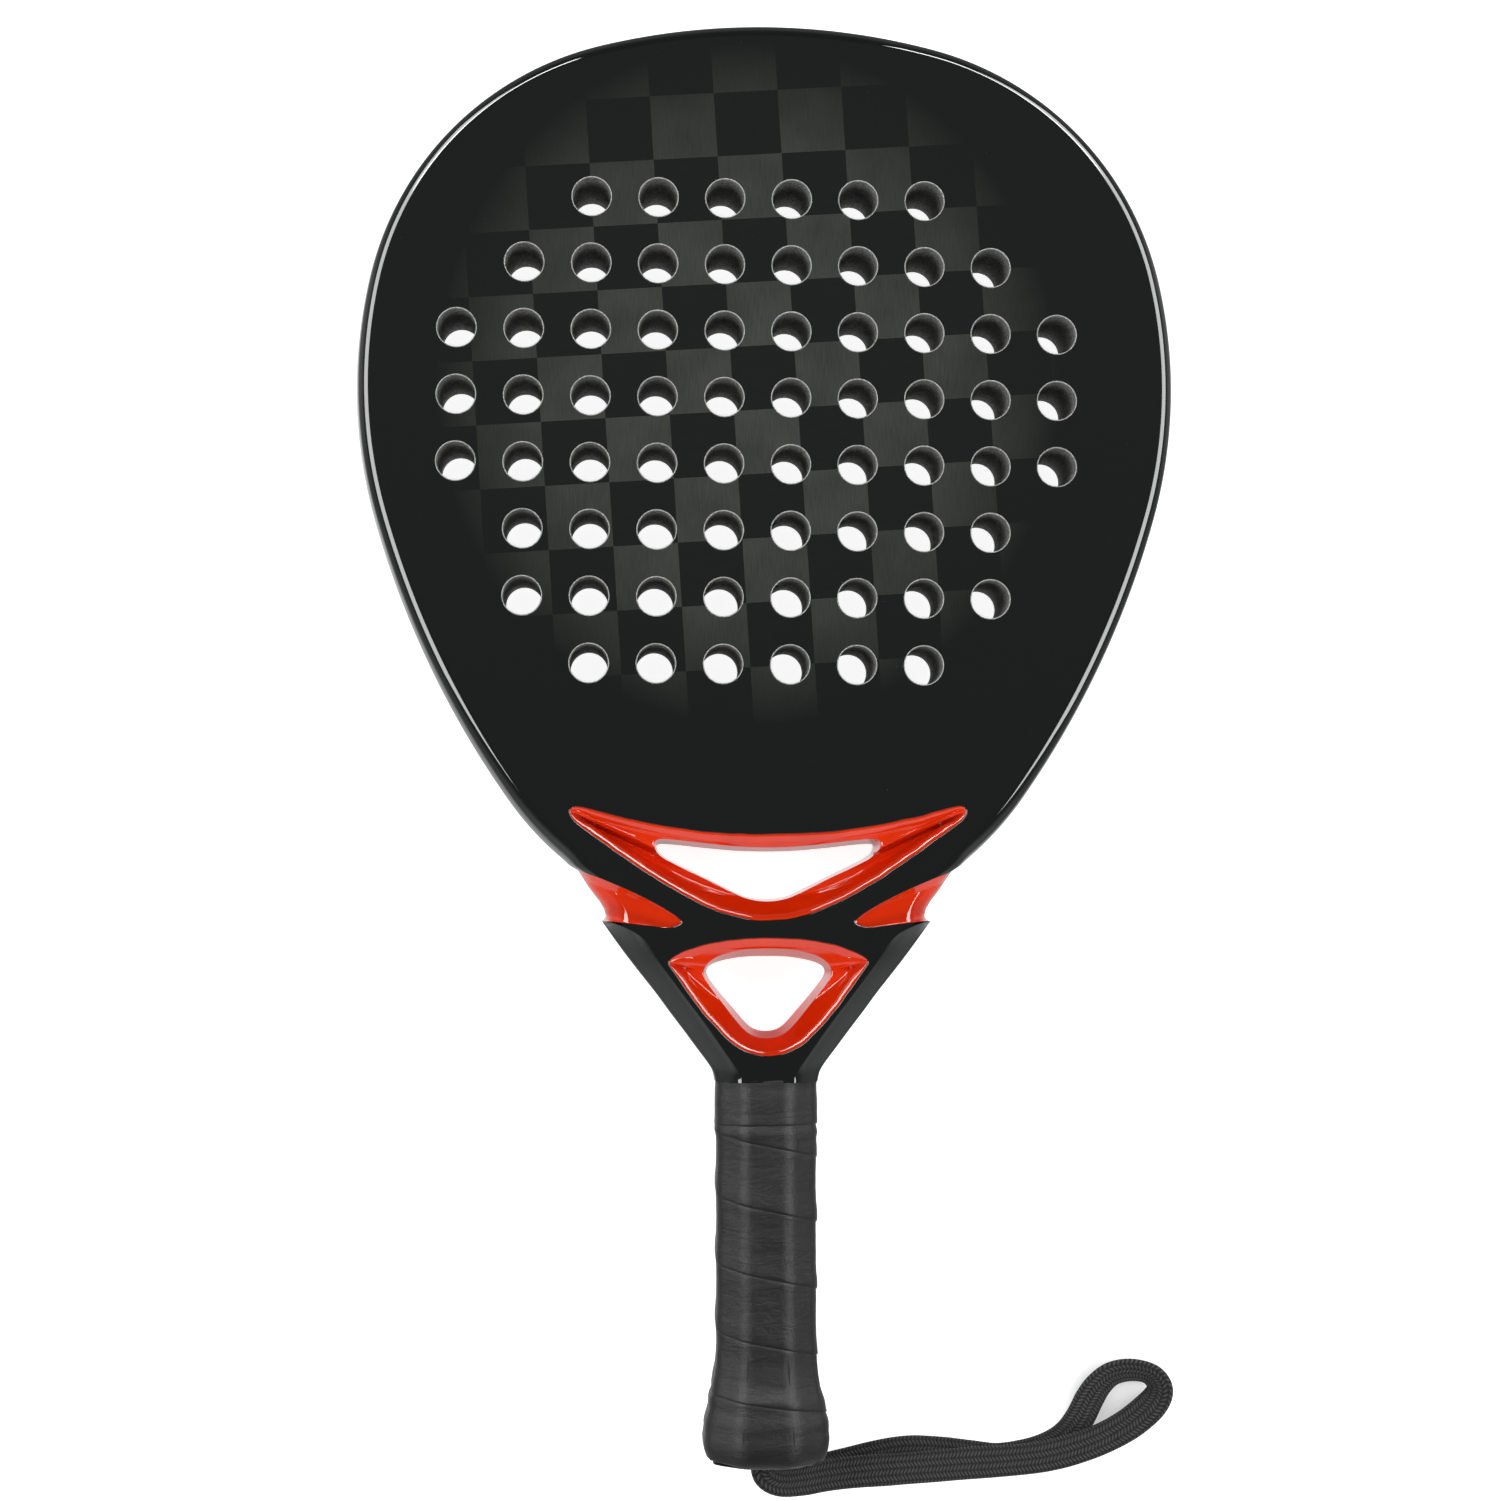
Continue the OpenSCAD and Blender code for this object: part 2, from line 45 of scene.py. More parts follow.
# ---- camera
cam_data = bpy.data.cameras.new("camera")
cam_data.sensor_width = 36.0
cam_data.lens = 72.82
cam_data.clip_start = 0.05
cam_data.clip_end = 20.0
camera = bpy.data.objects.new("camera", cam_data)
camera.location = (-0.05095, -0.04662, 0.98439)
camera.rotation_euler = tuple(math.radians(a) for a in (2.594, -2.743, -0.063))
scene.collection.objects.link(camera)
scene.camera = camera


# ---- small helpers
def clamp(v, lo=0.0, hi=1.0):
    return max(lo, min(hi, v))


def smooth(t):
    t = clamp(t)
    return t * t * (3 - 2 * t)


def lerp(a, b, t):
    return a + (b - a) * t


def table(points, v):
    """Straight-line look-up of v in (key, value) pairs that rise in key."""
    if v <= points[0][0]:
        return points[0][1]
    for (k0, v0), (k1, v1) in zip(points, points[1:]):
        if v <= k1:
            return lerp(v0, v1, (v - k0) / (k1 - k0))
    return points[-1][1]


def catmull(points, steps, closed=False):
    """Smooth curve through points, with steps pieces between each two."""
    n = len(points)
    out = []
    for i in range(n if closed else n - 1):
        if closed:
            quad = [points[(i + k) % n] for k in (-1, 0, 1, 2)]
        else:
            quad = [points[max(0, min(n - 1, i + k))] for k in (-1, 0, 1, 2)]
        a, b, c, d = quad
        for s in range(steps):
            t = s / steps
            out.append(tuple(
                0.5 * (2 * q + (r - p) * t + (2 * p - 5 * q + 4 * r - w) * t * t + (3 * q - p - 3 * r + w) * t ** 3)
                for p, q, r, w in zip(a, b, c, d)))
    if not closed:
        out.append(tuple(points[-1]))
    return out


def resample(points, count, closed=False):
    """The same line as count points at equal distances."""
    pts = [Vector(p) for p in points]
    if closed:
        pts.append(pts[0])
    run = [0.0]
    for a, b in zip(pts, pts[1:]):
        run.append(run[-1] + (b - a).length)
    out, j = [], 0
    for i in range(count):
        want = run[-1] * i / (count if closed else count - 1)
        while j < len(run) - 2 and run[j + 1] < want:
            j += 1
        span = run[j + 1] - run[j]
        out.append(pts[j].lerp(pts[j + 1], (want - run[j]) / span if span else 0))
    return out


def mirror_half(half):
    """Closed symmetric loop from its right half, which starts and ends on the axis."""
    return [tuple(p) for p in half] + [(-p[0], p[1]) for p in half[-2:0:-1]]


class Mesh:
    """Collects vertices in millimetres and faces, and makes the piece."""

    def __init__(self):
        self.verts, self.faces, self.mats = [], [], []

    def ring(self, points):
        first = len(self.verts)
        self.verts.extend(tuple(p) for p in points)
        return list(range(first, first + len(points)))

    def bridge(self, a, b, closed=True, mat=0, flip=False):
        n = len(a)
        for i in range(n if closed else n - 1):
            j = (i + 1) % n
            face = (a[i], a[j], b[j], b[i])
            self.faces.append(face[::-1] if flip else face)
            self.mats.append(mat)

    def sheet(self, rows, closed=True, flip=False):
        """Bridges each row of points to the next."""
        for a, b in zip(rows, rows[1:]):
            self.bridge(a, b, closed, flip=flip)

    def face(self, face, mat=0):
        self.faces.append(tuple(face))
        self.mats.append(mat)

    def mirrored_back(self, mid=19.0):
        """Adds the same surface for the back, turned over about the mid-plane."""
        n = len(self.verts)
        self.verts.extend([(x, y, 2 * mid - z) for x, y, z in self.verts])
        self.faces.extend([tuple(i + n for i in reversed(f)) for f in self.faces])
        self.mats.extend(self.mats)

    def piece(self, name, materials, slot, nodes=(), merge=0.002, uvs=None):
        mesh = bpy.data.meshes.new(name)
        mesh.from_pydata([tuple(c * MM for c in v) for v in self.verts], [], self.faces)
        for m in materials:
            mesh.materials.append(m)
        mesh.polygons.foreach_set("material_index", self.mats)
        mesh.polygons.foreach_set("use_smooth", [True] * len(self.faces))
        if uvs:
            layer = mesh.uv_layers.new(name="weave")
            for poly in mesh.polygons:
                for li, vi in zip(poly.loop_indices, poly.vertices):
                    layer.data[li].uv = uvs[vi]
        mesh.update()
        obj = bpy.data.objects.new(name, mesh)
        scene.collection.objects.link(obj)
        if merge:
            bm = bmesh.new()
            bm.from_mesh(mesh)
            bmesh.ops.remove_doubles(bm, verts=bm.verts, dist=merge * MM)
            bmesh.ops.dissolve_degenerate(bm, edges=bm.edges, dist=merge * MM)
            bm.to_mesh(mesh)
            bm.free()
        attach(obj, "root")
        if nodes:
            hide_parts(*nodes)
        return obj


# ---- materials
class Nodes:
    """Short names for building a material's node tree."""

    def __init__(self, name):
        self.mat = bpy.data.materials.new(name)
        self.mat.use_nodes = True
        self.tree = self.mat.node_tree
        self.tree.nodes.clear()
        self.out = self.tree.nodes.new("ShaderNodeOutputMaterial")
        self.bsdf = self.tree.nodes.new("ShaderNodeBsdfPrincipled")
        self.link(self.bsdf.outputs[0], self.out.inputs[0])

    def link(self, a, b):
        self.tree.links.new(a, b)

    def node(self, kind, **values):
        n = self.tree.nodes.new(kind)
        for key, value in values.items():
            if key in n.bl_rna.properties:
                setattr(n, key, value)
            else:
                self.feed(n.inputs[key.replace("_", " ")], value)
        return n

    def feed(self, socket, value):
        if isinstance(value, bpy.types.NodeSocket):
            self.link(value, socket)
        else:
            socket.default_value = value

    def math(self, op, a, b=0.0, c=None):
        n = self.tree.nodes.new("ShaderNodeMath")
        n.operation = op
        for socket, value in zip(n.inputs, (a, b, c)):
            if value is not None:
                self.feed(socket, value)
        return n.outputs[0]

    def coord(self, scale=1.0, rotate=0.0, move=(0, 0, 0)):
        tc = self.tree.nodes.new("ShaderNodeTexCoord")
        m = self.tree.nodes.new("ShaderNodeMapping")
        m.inputs["Scale"].default_value = scale if isinstance(scale, tuple) else (scale,) * 3
        m.inputs["Rotation"].default_value = (0, 0, rotate)
        m.inputs["Location"].default_value = move
        self.link(tc.outputs["Object"], m.inputs["Vector"])
        return m.outputs[0]

    def noise(self, vector, scale, detail=3.0, rough=0.5, distortion=0.0):
        n = self.tree.nodes.new("ShaderNodeTexNoise")
        self.feed(n.inputs["Vector"], vector)
        n.inputs["Scale"].default_value = scale
        n.inputs["Detail"].default_value = detail
        n.inputs["Roughness"].default_value = rough
        n.inputs["Distortion"].default_value = distortion
        return n.outputs["Fac"]

    def ramp(self, value, stops):
        n = self.tree.nodes.new("ShaderNodeValToRGB")
        els = n.color_ramp.elements
        while len(els) < len(stops):
            els.new(0.5)
        for el, (pos, col) in zip(els, stops):
            el.position = pos
            el.color = (*col, 1) if isinstance(col, tuple) else (col, col, col, 1)
        self.feed(n.inputs["Fac"], value)
        return n.outputs["Color"]

    def mix(self, fac, a, b):
        n = self.tree.nodes.new("ShaderNodeMix")
        n.data_type = "RGBA"
        self.feed(n.inputs["Factor"], fac)
        for socket, value in zip([s for s in n.inputs if s.type == "RGBA"], (a, b)):
            self.feed(socket, (*value, 1) if isinstance(value, tuple) else value)
        return [s for s in n.outputs if s.type == "RGBA"][0]

    def bump(self, height, distance, strength=1.0, normal=None):
        n = self.tree.nodes.new("ShaderNodeBump")
        n.inputs["Strength"].default_value = strength
        n.inputs["Distance"].default_value = distance
        self.feed(n.inputs["Height"], height)
        if normal:
            self.link(normal, n.inputs["Normal"])
        return n.outputs["Normal"]

    def set(self, **values):
        for key, value in values.items():
            self.feed(self.bsdf.inputs[key.replace("_", " ")], value)
        return self.mat


def grey(v):
    return (v, v * 1.04, v * 1.01)


def carbon_material():
    n = Nodes("lacquered_carbon")
    turn = math.radians(-3.6)
    pitch = 0.0202
    check = n.node("ShaderNodeTexChecker")
    check.inputs["Scale"].default_value = 1.0
    check.inputs["Color1"].default_value = (1, 1, 1, 1)
    check.inputs["Color2"].default_value = (0, 0, 0, 1)
    n.link(n.coord((1 / pitch, 1 / pitch, 0), turn, (1.205, -0.119, 0.5)), check.inputs["Vector"])
    fibre_v = n.noise(n.coord((5200, 160, 160), turn), 1.0, 2.0)
    fibre_h = n.noise(n.coord((160, 5200, 160), turn), 1.0, 2.0)
    tow = n.noise(n.coord((62, 62, 0), turn), 1.0, 1.0)
    # the check shows in a soft oval round the holes
    sep = n.node("ShaderNodeSeparateXYZ", Vector=n.coord())
    dx = n.math("DIVIDE", n.math("ADD", sep.outputs["X"], 0.006), 0.098)
    dy = n.math("DIVIDE", n.math("SUBTRACT", sep.outputs["Y"], 0.112), 0.108)
    far = n.math("ADD", n.math("MULTIPLY", dx, dx), n.math("MULTIPLY", dy, dy))
    oval = n.ramp(far, [(0.0, 1.0), (0.45, 0.8), (0.8, 0.32), (1.0, 0.0)])
    light = n.ramp(n.math("ADD", n.math("MULTIPLY", fibre_v, 0.6), n.math("MULTIPLY", tow, 0.5)),
                   [(0.3, (0.030, 0.033, 0.029)), (0.75, (0.060, 0.064, 0.056))])
    dark = n.ramp(fibre_h, [(0.3, (0.0080, 0.0096, 0.0088)), (0.75, (0.0115, 0.0138, 0.0128))])
    tile = n.mix(check.outputs["Fac"], dark, light)
    base = n.mix(oval, (0.0082, 0.0102, 0.0092), tile)
    speck = n.node("ShaderNodeTexVoronoi", Vector=n.coord(88.0))
    dust = n.math("LESS_THAN", speck.outputs["Distance"], n.math("MULTIPLY", speck.outputs["Color"], 0.022))
    base = n.mix(n.math("MULTIPLY", dust, 0.6), base, (0.42, 0.42, 0.40))
    ripple = n.noise(n.coord((34, 60, 34)), 1.0, 2.0, 0.5, 0.4)
    fine = n.noise(n.coord(420.0), 1.0, 2.0)
    relief = n.bump(ripple, 0.00008, 1.0, n.bump(fine, 0.0000015))
    n.set(Base_Color=base, Roughness=0.6, Specular_IOR_Level=0.0, Coat_Weight=1.0, Coat_Roughness=0.03,
          Coat_IOR=1.55, Normal=relief, Coat_Normal=relief)
    return n.mat


def red_material():
    n = Nodes("red_lacquer")
    pool = n.noise(n.coord(55.0), 1.0, 2.0)
    base = n.ramp(pool, [(0.25, (0.60, 0.022, 0.001)), (0.8, (0.74, 0.033, 0.002))])
    wave = n.noise(n.coord(110.0), 1.0, 1.0, 0.4, 0.3)
    fine = n.noise(n.coord(900.0), 1.0, 1.0)
    relief = n.bump(wave, 0.00005, 1.0, n.bump(fine, 0.000002))
    n.set(Base_Color=base, Roughness=0.6, Specular_IOR_Level=0.0, Coat_Weight=1.0, Coat_Roughness=0.035,
          Coat_IOR=1.6, Normal=relief, Coat_Normal=relief)
    return n.mat


def foam_material():
    n = Nodes("eva_foam")
    cell = n.node("ShaderNodeTexVoronoi", Vector=n.coord(2100.0))
    patch = n.noise(n.coord(1300.0), 1.0, 3.0, 0.7)
    base = n.ramp(n.math("ADD", n.math("MULTIPLY", cell.outputs["Distance"], 0.5), n.math("MULTIPLY", patch, 0.6)),
                  [(0.30, (0.035, 0.037, 0.035)), (0.52, (0.11, 0.113, 0.108)), (0.66, (0.36, 0.36, 0.35)),
                   (0.8, (0.62, 0.62, 0.60))])
    n.set(Base_Color=base, Roughness=0.85, Specular_IOR_Level=0.3,
          Normal=n.bump(cell.outputs["Distance"], 0.0003, 0.8))
    return n.mat


def wrap_material(name, base_grey, rough):
    n = Nodes(name)
    soft = n.noise(n.coord((70, 45, 70)), 1.0, 3.0, 0.55)
    grain = n.noise(n.coord(1800.0), 1.0, 3.0, 0.6)
    pores = n.node("ShaderNodeTexVoronoi", Vector=n.coord(2300.0))
    crease = n.noise(n.coord((90, 260, 90)), 1.0, 3.0, 0.6, 0.6)
    low, high = (tuple(k * base_grey * t for t in (0.95, 1.04, 0.93)) for k in (0.86, 1.18))
    base = n.ramp(soft, [(0.25, low), (0.8, high)])
    speck = n.node("ShaderNodeTexVoronoi", Vector=n.coord(120.0))
    dust = n.math("LESS_THAN", speck.outputs["Distance"], n.math("MULTIPLY", speck.outputs["Color"], 0.03))
    base = n.mix(n.math("MULTIPLY", dust, 0.6), base, (0.42, 0.42, 0.40))
    relief = n.bump(crease, 0.00035, 0.8, n.bump(n.math("ADD", grain, pores.outputs["Distance"]), 0.00003))
    roughness = n.ramp(soft, [(0.2, rough - 0.06), (0.8, rough + 0.06)])
    n.set(Base_Color=base, Roughness=roughness, Specular_IOR_Level=0.24, Sheen_Weight=0.12,
          Sheen_Roughness=0.45, Normal=relief)
    return n.mat


def braid_material():
    """Herringbone from the strap's own map: u in ribs across, v in yarn pitches along."""
    n = Nodes("strap_braid")
    uv = n.node("ShaderNodeUVMap")
    uv.uv_map = "weave"
    sep = n.node("ShaderNodeSeparateXYZ", Vector=uv.outputs[0])
    across = n.math("PINGPONG", sep.outputs["X"], 1.0)
    rib = n.math("ABSOLUTE", n.math("SINE", n.math("MULTIPLY", sep.outputs["X"], math.pi)))
    yarn = n.math("FRACT", n.math("ADD", sep.outputs["Y"], n.math("MULTIPLY", across, 0.9)))
    bulge = n.math("SINE", n.math("MULTIPLY", yarn, math.pi))
    fuzz = n.noise(n.coord(3500.0), 1.0, 3.0, 0.7)
    height = n.math("MULTIPLY", bulge, n.math("ADD", n.math("MULTIPLY", rib, 0.6), 0.4))
    # colour darker in the grooves between yarns and lighter on the yarn tops, from the bump height: painted shade
    # and painted highlight, mixed with random fuzz
    painted_yarn_shade = n.math("ADD", n.math("MULTIPLY", height, 0.7), n.math("MULTIPLY", fuzz, 0.5))
    base = n.ramp(painted_yarn_shade, [(0.2, grey(0.003)), (0.55, grey(0.0135)), (0.92, grey(0.06))])
    relief = n.bump(height, 0.00035, 1.0, n.bump(fuzz, 0.00008))
    n.set(Base_Color=base, Roughness=0.75, Specular_IOR_Level=0.12, Sheen_Weight=0.04, Sheen_Roughness=0.5,
          Normal=relief)
    return n.mat


def plain_material(name, low, high, rough, scale, metallic=0.0, depth=0.00003):
    n = Nodes(name)
    cloud = n.noise(n.coord(scale), 1.0, 4.0, 0.6)
    grain = n.noise(n.coord(scale * 9), 1.0, 2.0)
    n.set(Base_Color=n.ramp(cloud, [(0.3, low), (0.75, high)]), Metallic=metallic,
          Roughness=n.ramp(cloud, [(0.2, rough - 0.05), (0.8, rough + 0.07)]), Normal=n.bump(grain, depth))
    return n.mat


carbon = carbon_material()
red = red_material()
foam = foam_material()
wrap = wrap_material("grip_wrap", 0.0066, 0.33)
band_mat = wrap_material("band_wrap", 0.0085, 0.34)
braid = braid_material()
butt_mat = plain_material("butt_plastic", (0.010, 0.010, 0.010), (0.018, 0.018, 0.018), 0.5, 260)
tube_mat = plain_material("raw_composite", (0.008, 0.008, 0.008), (0.022, 0.022, 0.022), 0.38, 300)
pallet_mat = plain_material("pallet_foam", (0.15, 0.15, 0.14), (0.24, 0.24, 0.22), 0.75, 400, 0.0, 0.0001)
cut_edge = plain_material("cut_edge", (0.16, 0.165, 0.16), (0.62, 0.62, 0.60), 0.5, 1500, 0.0, 0.0001)
knot_mat = plain_material("knot_cord", (0.006, 0.006, 0.006), (0.03, 0.03, 0.03), 0.8, 900, 0.0, 0.0003)
staple_mat = plain_material("staple_wire", (0.5, 0.5, 0.5), (0.68, 0.68, 0.69), 0.28, 500, 1.0)

for node, material in (("foam_core", foam), ("base_grip", wrap), ("front_pallet", pallet_mat),
                       ("back_pallet", pallet_mat), ("left_handle_tube", tube_mat),
                       ("right_handle_tube", tube_mat), ("butt_staples", staple_mat), ("strap_knot", knot_mat)):
    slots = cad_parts[node].data.materials
    for i in range(len(slots)):
        slots[i] = material
    if not len(slots):
        slots.append(material)

# ---- wrist strap (a free cord)
ROUTE = [
    (0, -0.221, 0.0213, 0), (0, -0.2265, 0.0213, 0), (0.0006, -0.231, 0.0205, 0), (0.0048, -0.2336, 0.018, 0),
    (0.0118, -0.2341, 0.0135, 0), (0.0198, -0.2336, 0.0095, 0), (0.0308, -0.233, 0.0075, 10),
    (0.0447, -0.2323, 0.007, 20), (0.0587, -0.2314, 0.0064, 10), (0.0748, -0.2305, 0.006, 0),
    (0.0908, -0.2289, 0.006, 0), (0.1046, -0.2253, 0.006, 0), (0.1148, -0.2206, 0.006, 4),
    (0.1221, -0.2156, 0.006, 14), (0.1266, -0.211, 0.0056, 34), (0.1276, -0.2068, 0.0053, 46),
    (0.1246, -0.2032, 0.0052, 46), (0.1184, -0.2019, 0.0052, 40), (0.1124, -0.2031, 0.005, 34),
    (0.1081, -0.2066, 0.0046, 26), (0.1051, -0.2112, 0.004, 16), (0.1023, -0.2172, 0.003, 8),
    (0.0985, -0.2227, 0.002, 0), (0.0929, -0.2266, 0.0016, 0), (0.0848, -0.2294, 0.0016, 0),
    (0.0758, -0.2305, 0.0016, 0), (0.0667, -0.2293, 0.0016, 0), (0.0566, -0.2282, 0.0016, 0),
    (0.0466, -0.2279, 0.0016, 0), (0.0346, -0.2295, 0.0016, 0), (0.0247, -0.2316, 0.0024, 0),
    (0.0158, -0.2336, 0.0048, 0), (0.0084, -0.234, 0.0086, 0), (0.0032, -0.2326, 0.0126, 0),
    (0.0006, -0.2298, 0.0156, 0), (0, -0.2265, 0.0167, 0), (0, -0.221, 0.0167, 0),
]
STRAP_W, STRAP_T = 10.3, 2.6


def strap():
    path = catmull(ROUTE, 8)
    places = [Vector(p[:3]) / MM for p in path]
    m, uvs, rings, run = Mesh(), [], [], 0.0
    sides = 44
    for i, p in enumerate(places):
        along = (places[min(i + 1, len(places) - 1)] - places[max(i - 1, 0)]).normalized()
        level = along.cross(Vector((0, 0, 1))).normalized()
        up = level.cross(along)
        tilt = math.radians(path[i][3])
        wide = level * math.cos(tilt) + up * math.sin(tilt)
        thick = up * math.cos(tilt) - level * math.sin(tilt)
        if i:
            run += (p - places[i - 1]).length
        ring = []
        ease = smooth(min(i, len(places) - 1 - i) / 24)
        slack = [0.42 * ease * noise.noise(Vector((run * 0.055, side * 9.0, 4.0))) for side in (-1, 1)]
        for k in range(sides):
            a = 2 * math.pi * (k + 0.5) / sides
            w = math.copysign(abs(math.cos(a)) ** 0.62, math.cos(a))
            t = math.copysign(abs(math.sin(a)) ** 0.75, math.sin(a))
            ribs = 0.045 * math.cos(2 * math.pi * w * 2.5) * (1 - w ** 6)
            out = (STRAP_W / 2 - 0.1) * w + slack[w > 0] * abs(w)
            ring.append(p + wide * out + thick * (STRAP_T / 2 - 0.1) * (t + math.copysign(ribs, t)))
            uvs.append((w * 2.5 + 20, run / 1.15))
        rings.append(m.ring(ring))
    m.sheet(rings, flip=True)
    m.face(rings[0])
    m.face(rings[-1][::-1])
    obj = m.piece("wrist_strap_braid", [braid], "strap_braid", ["wrist_strap"], merge=0, uvs=uvs)
    length = sum((b - a).length for a, b in zip(places, places[1:])) * MM
    return obj


strap()

# ---- outline and rim
TOP, MID = 38.0, 19.0
TIP_Y = 227.5
ARCS = ((214.7, 14.4), (100, 62.8), (154.2, 28.7), (290.4, 19.5), (98.4, 19.1))
CUT_OUT, CUT_IN = Vector((59.5, -41.1)), Vector((51.2, -44.0))
# bulge of the rim's side, radius of its edge, and the edge's first and last tilt in degrees
CROWN, EDGE_R, CREASE, EDGE_END = 1.2, 4.3, 8.0, 80
SIDE_HALF = 14  # half the height over which the side bulges


def outline(s):
    """Point and heading on the head's right side, s millimetres from the top."""
    x, y, h = 0.0, TIP_Y, 0.0
    for i, (r, turn) in enumerate(ARCS):
        a = min(math.degrees(s / r), turn) if i < len(ARCS) - 1 else math.degrees(s / r)
        h0, h1 = math.radians(h), math.radians(h + a)
        x, y, h = x + r * (math.sin(h1) - math.sin(h0)), y + r * (math.cos(h1) - math.cos(h0)), h + a
        s -= r * math.radians(turn)
        if s <= 0:
            break
    return x, y, h


def rim_profile():
    """Rows of the rim from the face's crease down to the mid-plane, as (inset, z)."""
    zc = TOP - 0.03 - EDGE_R * math.cos(math.radians(CREASE))
    ze = zc + EDGE_R * math.cos(math.radians(EDGE_END))
    nc = CROWN * ((ze - MID) / SIDE_HALF) ** 2 + EDGE_R * math.sin(math.radians(EDGE_END))
    rows = [(nc - EDGE_R * math.sin(math.radians(a)), zc + EDGE_R * math.cos(math.radians(a)))
            for a in (CREASE, 14, 20, 26, 33, 40, 48, 56, 64, 72, EDGE_END)]
    return rows + [(CROWN * ((z - MID) / SIDE_HALF) ** 2, z) for z in (32, 29, 26, 22.5, MID)]


RIM = rim_profile()
RIM_IN = RIM[0][0]


def rim_end():
    """Arc length where the mid-plane outline meets the notch."""
    s = 380.0
    while outline(s)[1] > CUT_OUT.y:
        s += 0.05
    return s


S_END = rim_end()
S_BLEND = 16.0


def rim_place(s, n):
    x, y, h = outline(s)
    a = math.radians(h)
    p = Vector((x - n * math.sin(a), y - n * math.cos(a)))
    if s > S_END - S_BLEND:
        xe, ye, he = outline(S_END)
        ae = math.radians(he)
        end = Vector((xe - n * math.sin(ae), ye - n * math.cos(ae)))
        p += (CUT_OUT.lerp(CUT_IN, n / RIM_IN) - end) * smooth((s - S_END + S_BLEND) / S_BLEND)
    return p


THROAT_DROP, THROAT_Y, THROAT_RUN = 4.0, -70, 37.0


def face_z(y):
    """Height of the front face: level on the head, easing down through the throat."""
    return TOP - THROAT_DROP * smooth((THROAT_Y - y) / THROAT_RUN)


STATIONS = 150
RUNS = [S_END * i / STATIONS for i in range(STATIONS + 1)]

# right half of the front face's edge below the rim
NOTCH_EDGE = [(51.2, -44.0), (47.6, -45.5), (43.5, -47.3), (39.5, -49.2), (35.6, -51.2), (32.4, -53.0),
              (29.6, -54.8), (27.8, -56.2), (27.0, -57.2), (27.9, -58.2), (30.2, -58.9), (32.8, -59.0),
              (36.5, -58.5), (41.1, -58.0), (46.0, -57.4), (50.0, -56.95)]
LEG_EDGE = [(50.0, -56.95), (46.6, -58.2), (42.6, -59.9), (39.2, -62.1), (36.8, -65.0), (34.6, -68.6),
            (31.2, -73.4), (25.6, -81.0), (19.0, -89.8), (13.0, -98.4), (8.8, -104.6), (8.2, -107.5)]
LEG_SIDE = [(51.9, -57.1), (49.6, -60.4), (46.4, -64.9), (43.1, -69.3), (38.8, -74.8), (35.0, -79.6),
            (30.6, -85.6), (26.2, -91.4), (21.6, -97.6), (18.6, -101.6), (16.9, -104.4), (16.2, -107.5)]

LEG_STATIONS = 44
notch_line = [Vector(p) for p in catmull(NOTCH_EDGE, 4)]
leg_line = resample(catmull(LEG_EDGE, 6), LEG_STATIONS)
side_line = resample(catmull(LEG_SIDE, 6), LEG_STATIONS)


def offset(loop, d, corners=()):
    """Moves a clockwise loop's points to its inside by d, less near the sharp corners."""
    n = len(loop)
    out = []
    for i, p in enumerate(loop):
        a, b = loop[i - 1], loop[(i + 1) % n]
        e0, e1 = (p - a), (b - p)
        if e0.length < 1e-6 or e1.length < 1e-6:
            e0 = e1 = b - a
        n0 = Vector((e0.y, -e0.x)).normalized()
        n1 = Vector((e1.y, -e1.x)).normalized()
        m = n0 + n1
        m = m / max(m.length, 0.3)
        m = m / max(m.dot(n0), 0.45)
        near = min([1.0] + [(p - c).length / 3.2 for c in corners])
        out.append(p + m * d * max(near, 0.03))
    return out


# ---- windows
UPPER_OUT = [(0, -30.0), (8, -29.85), (15, -29.5), (21, -29.0), (27, -28.2), (33, -27.3), (39, -26.2),
             (44.5, -24.9), (49.5, -23.7), (54, -22.5), (57.6, -21.6), (60.2, -21.2), (61.7, -21.8),
             (62.0, -23.1), (61.0, -25.0), (59, -26.9), (56.2, -28.9), (51.5, -32.3), (46, -36.2),
             (40.5, -40.0), (35, -43.6), (29.5, -46.9), (24, -50.0), (18.5, -52.6), (12.5, -54.8),
             (6.2, -56.25), (0, -56.75)]
UPPER_WALL = [(0, -33.9), (6, -33.8), (11, -33.45), (16, -33.0), (21.1, -32.4), (25.4, -31.9), (29.2, -31.5),
              (32.6, -31.2), (34.6, -31.5), (35.4, -32.3), (35.5, -33.3), (35.3, -34.2), (34.9, -35.0),
              (34.2, -35.9), (33.2, -36.8), (31.6, -37.9), (29.8, -38.8), (27.5, -40.0), (25, -41.2),
              (22.4, -42.4), (19.2, -43.9), (16.2, -45.4), (13.4, -46.8), (10.4, -48.3), (7.2, -49.7),
              (3.6, -50.6), (0, -50.9)]
UPPER_HOLE = [(0, -35.1), (6, -35.0), (11, -34.75), (16, -34.3), (21.1, -33.8), (25.4, -33.3), (29.2, -32.9),
              (32.2, -32.7), (33.6, -32.75), (34.3, -33.0), (34.5, -33.4), (34.45, -33.9), (34.2, -34.5),
              (33.7, -35.2), (32.7, -36.2), (31.2, -37.2), (29.5, -38.15), (27.2, -39.3), (24.8, -40.5),
              (22.2, -41.75), (19, -43.3), (16, -44.8), (13.2, -46.2), (10.2, -47.7), (7.0, -49.1),
              (3.5, -49.9), (0, -50.15)]
LOWER_OUT = [(0, -62.3), (4.5, -62.4), (9, -62.65), (13.4, -63.1), (18, -63.9), (22.4, -65.0), (26.4, -66.5),
             (29.2, -67.9), (30.7, -69.0), (31.0, -70.1), (30.3, -71.3), (28.6, -73.8), (26.4, -77.0),
             (23.8, -80.7), (21, -84.4), (18, -88.0), (15, -91.3), (11.8, -94.5), (8.4, -96.9), (4.4, -98.5),
             (0, -99.1)]
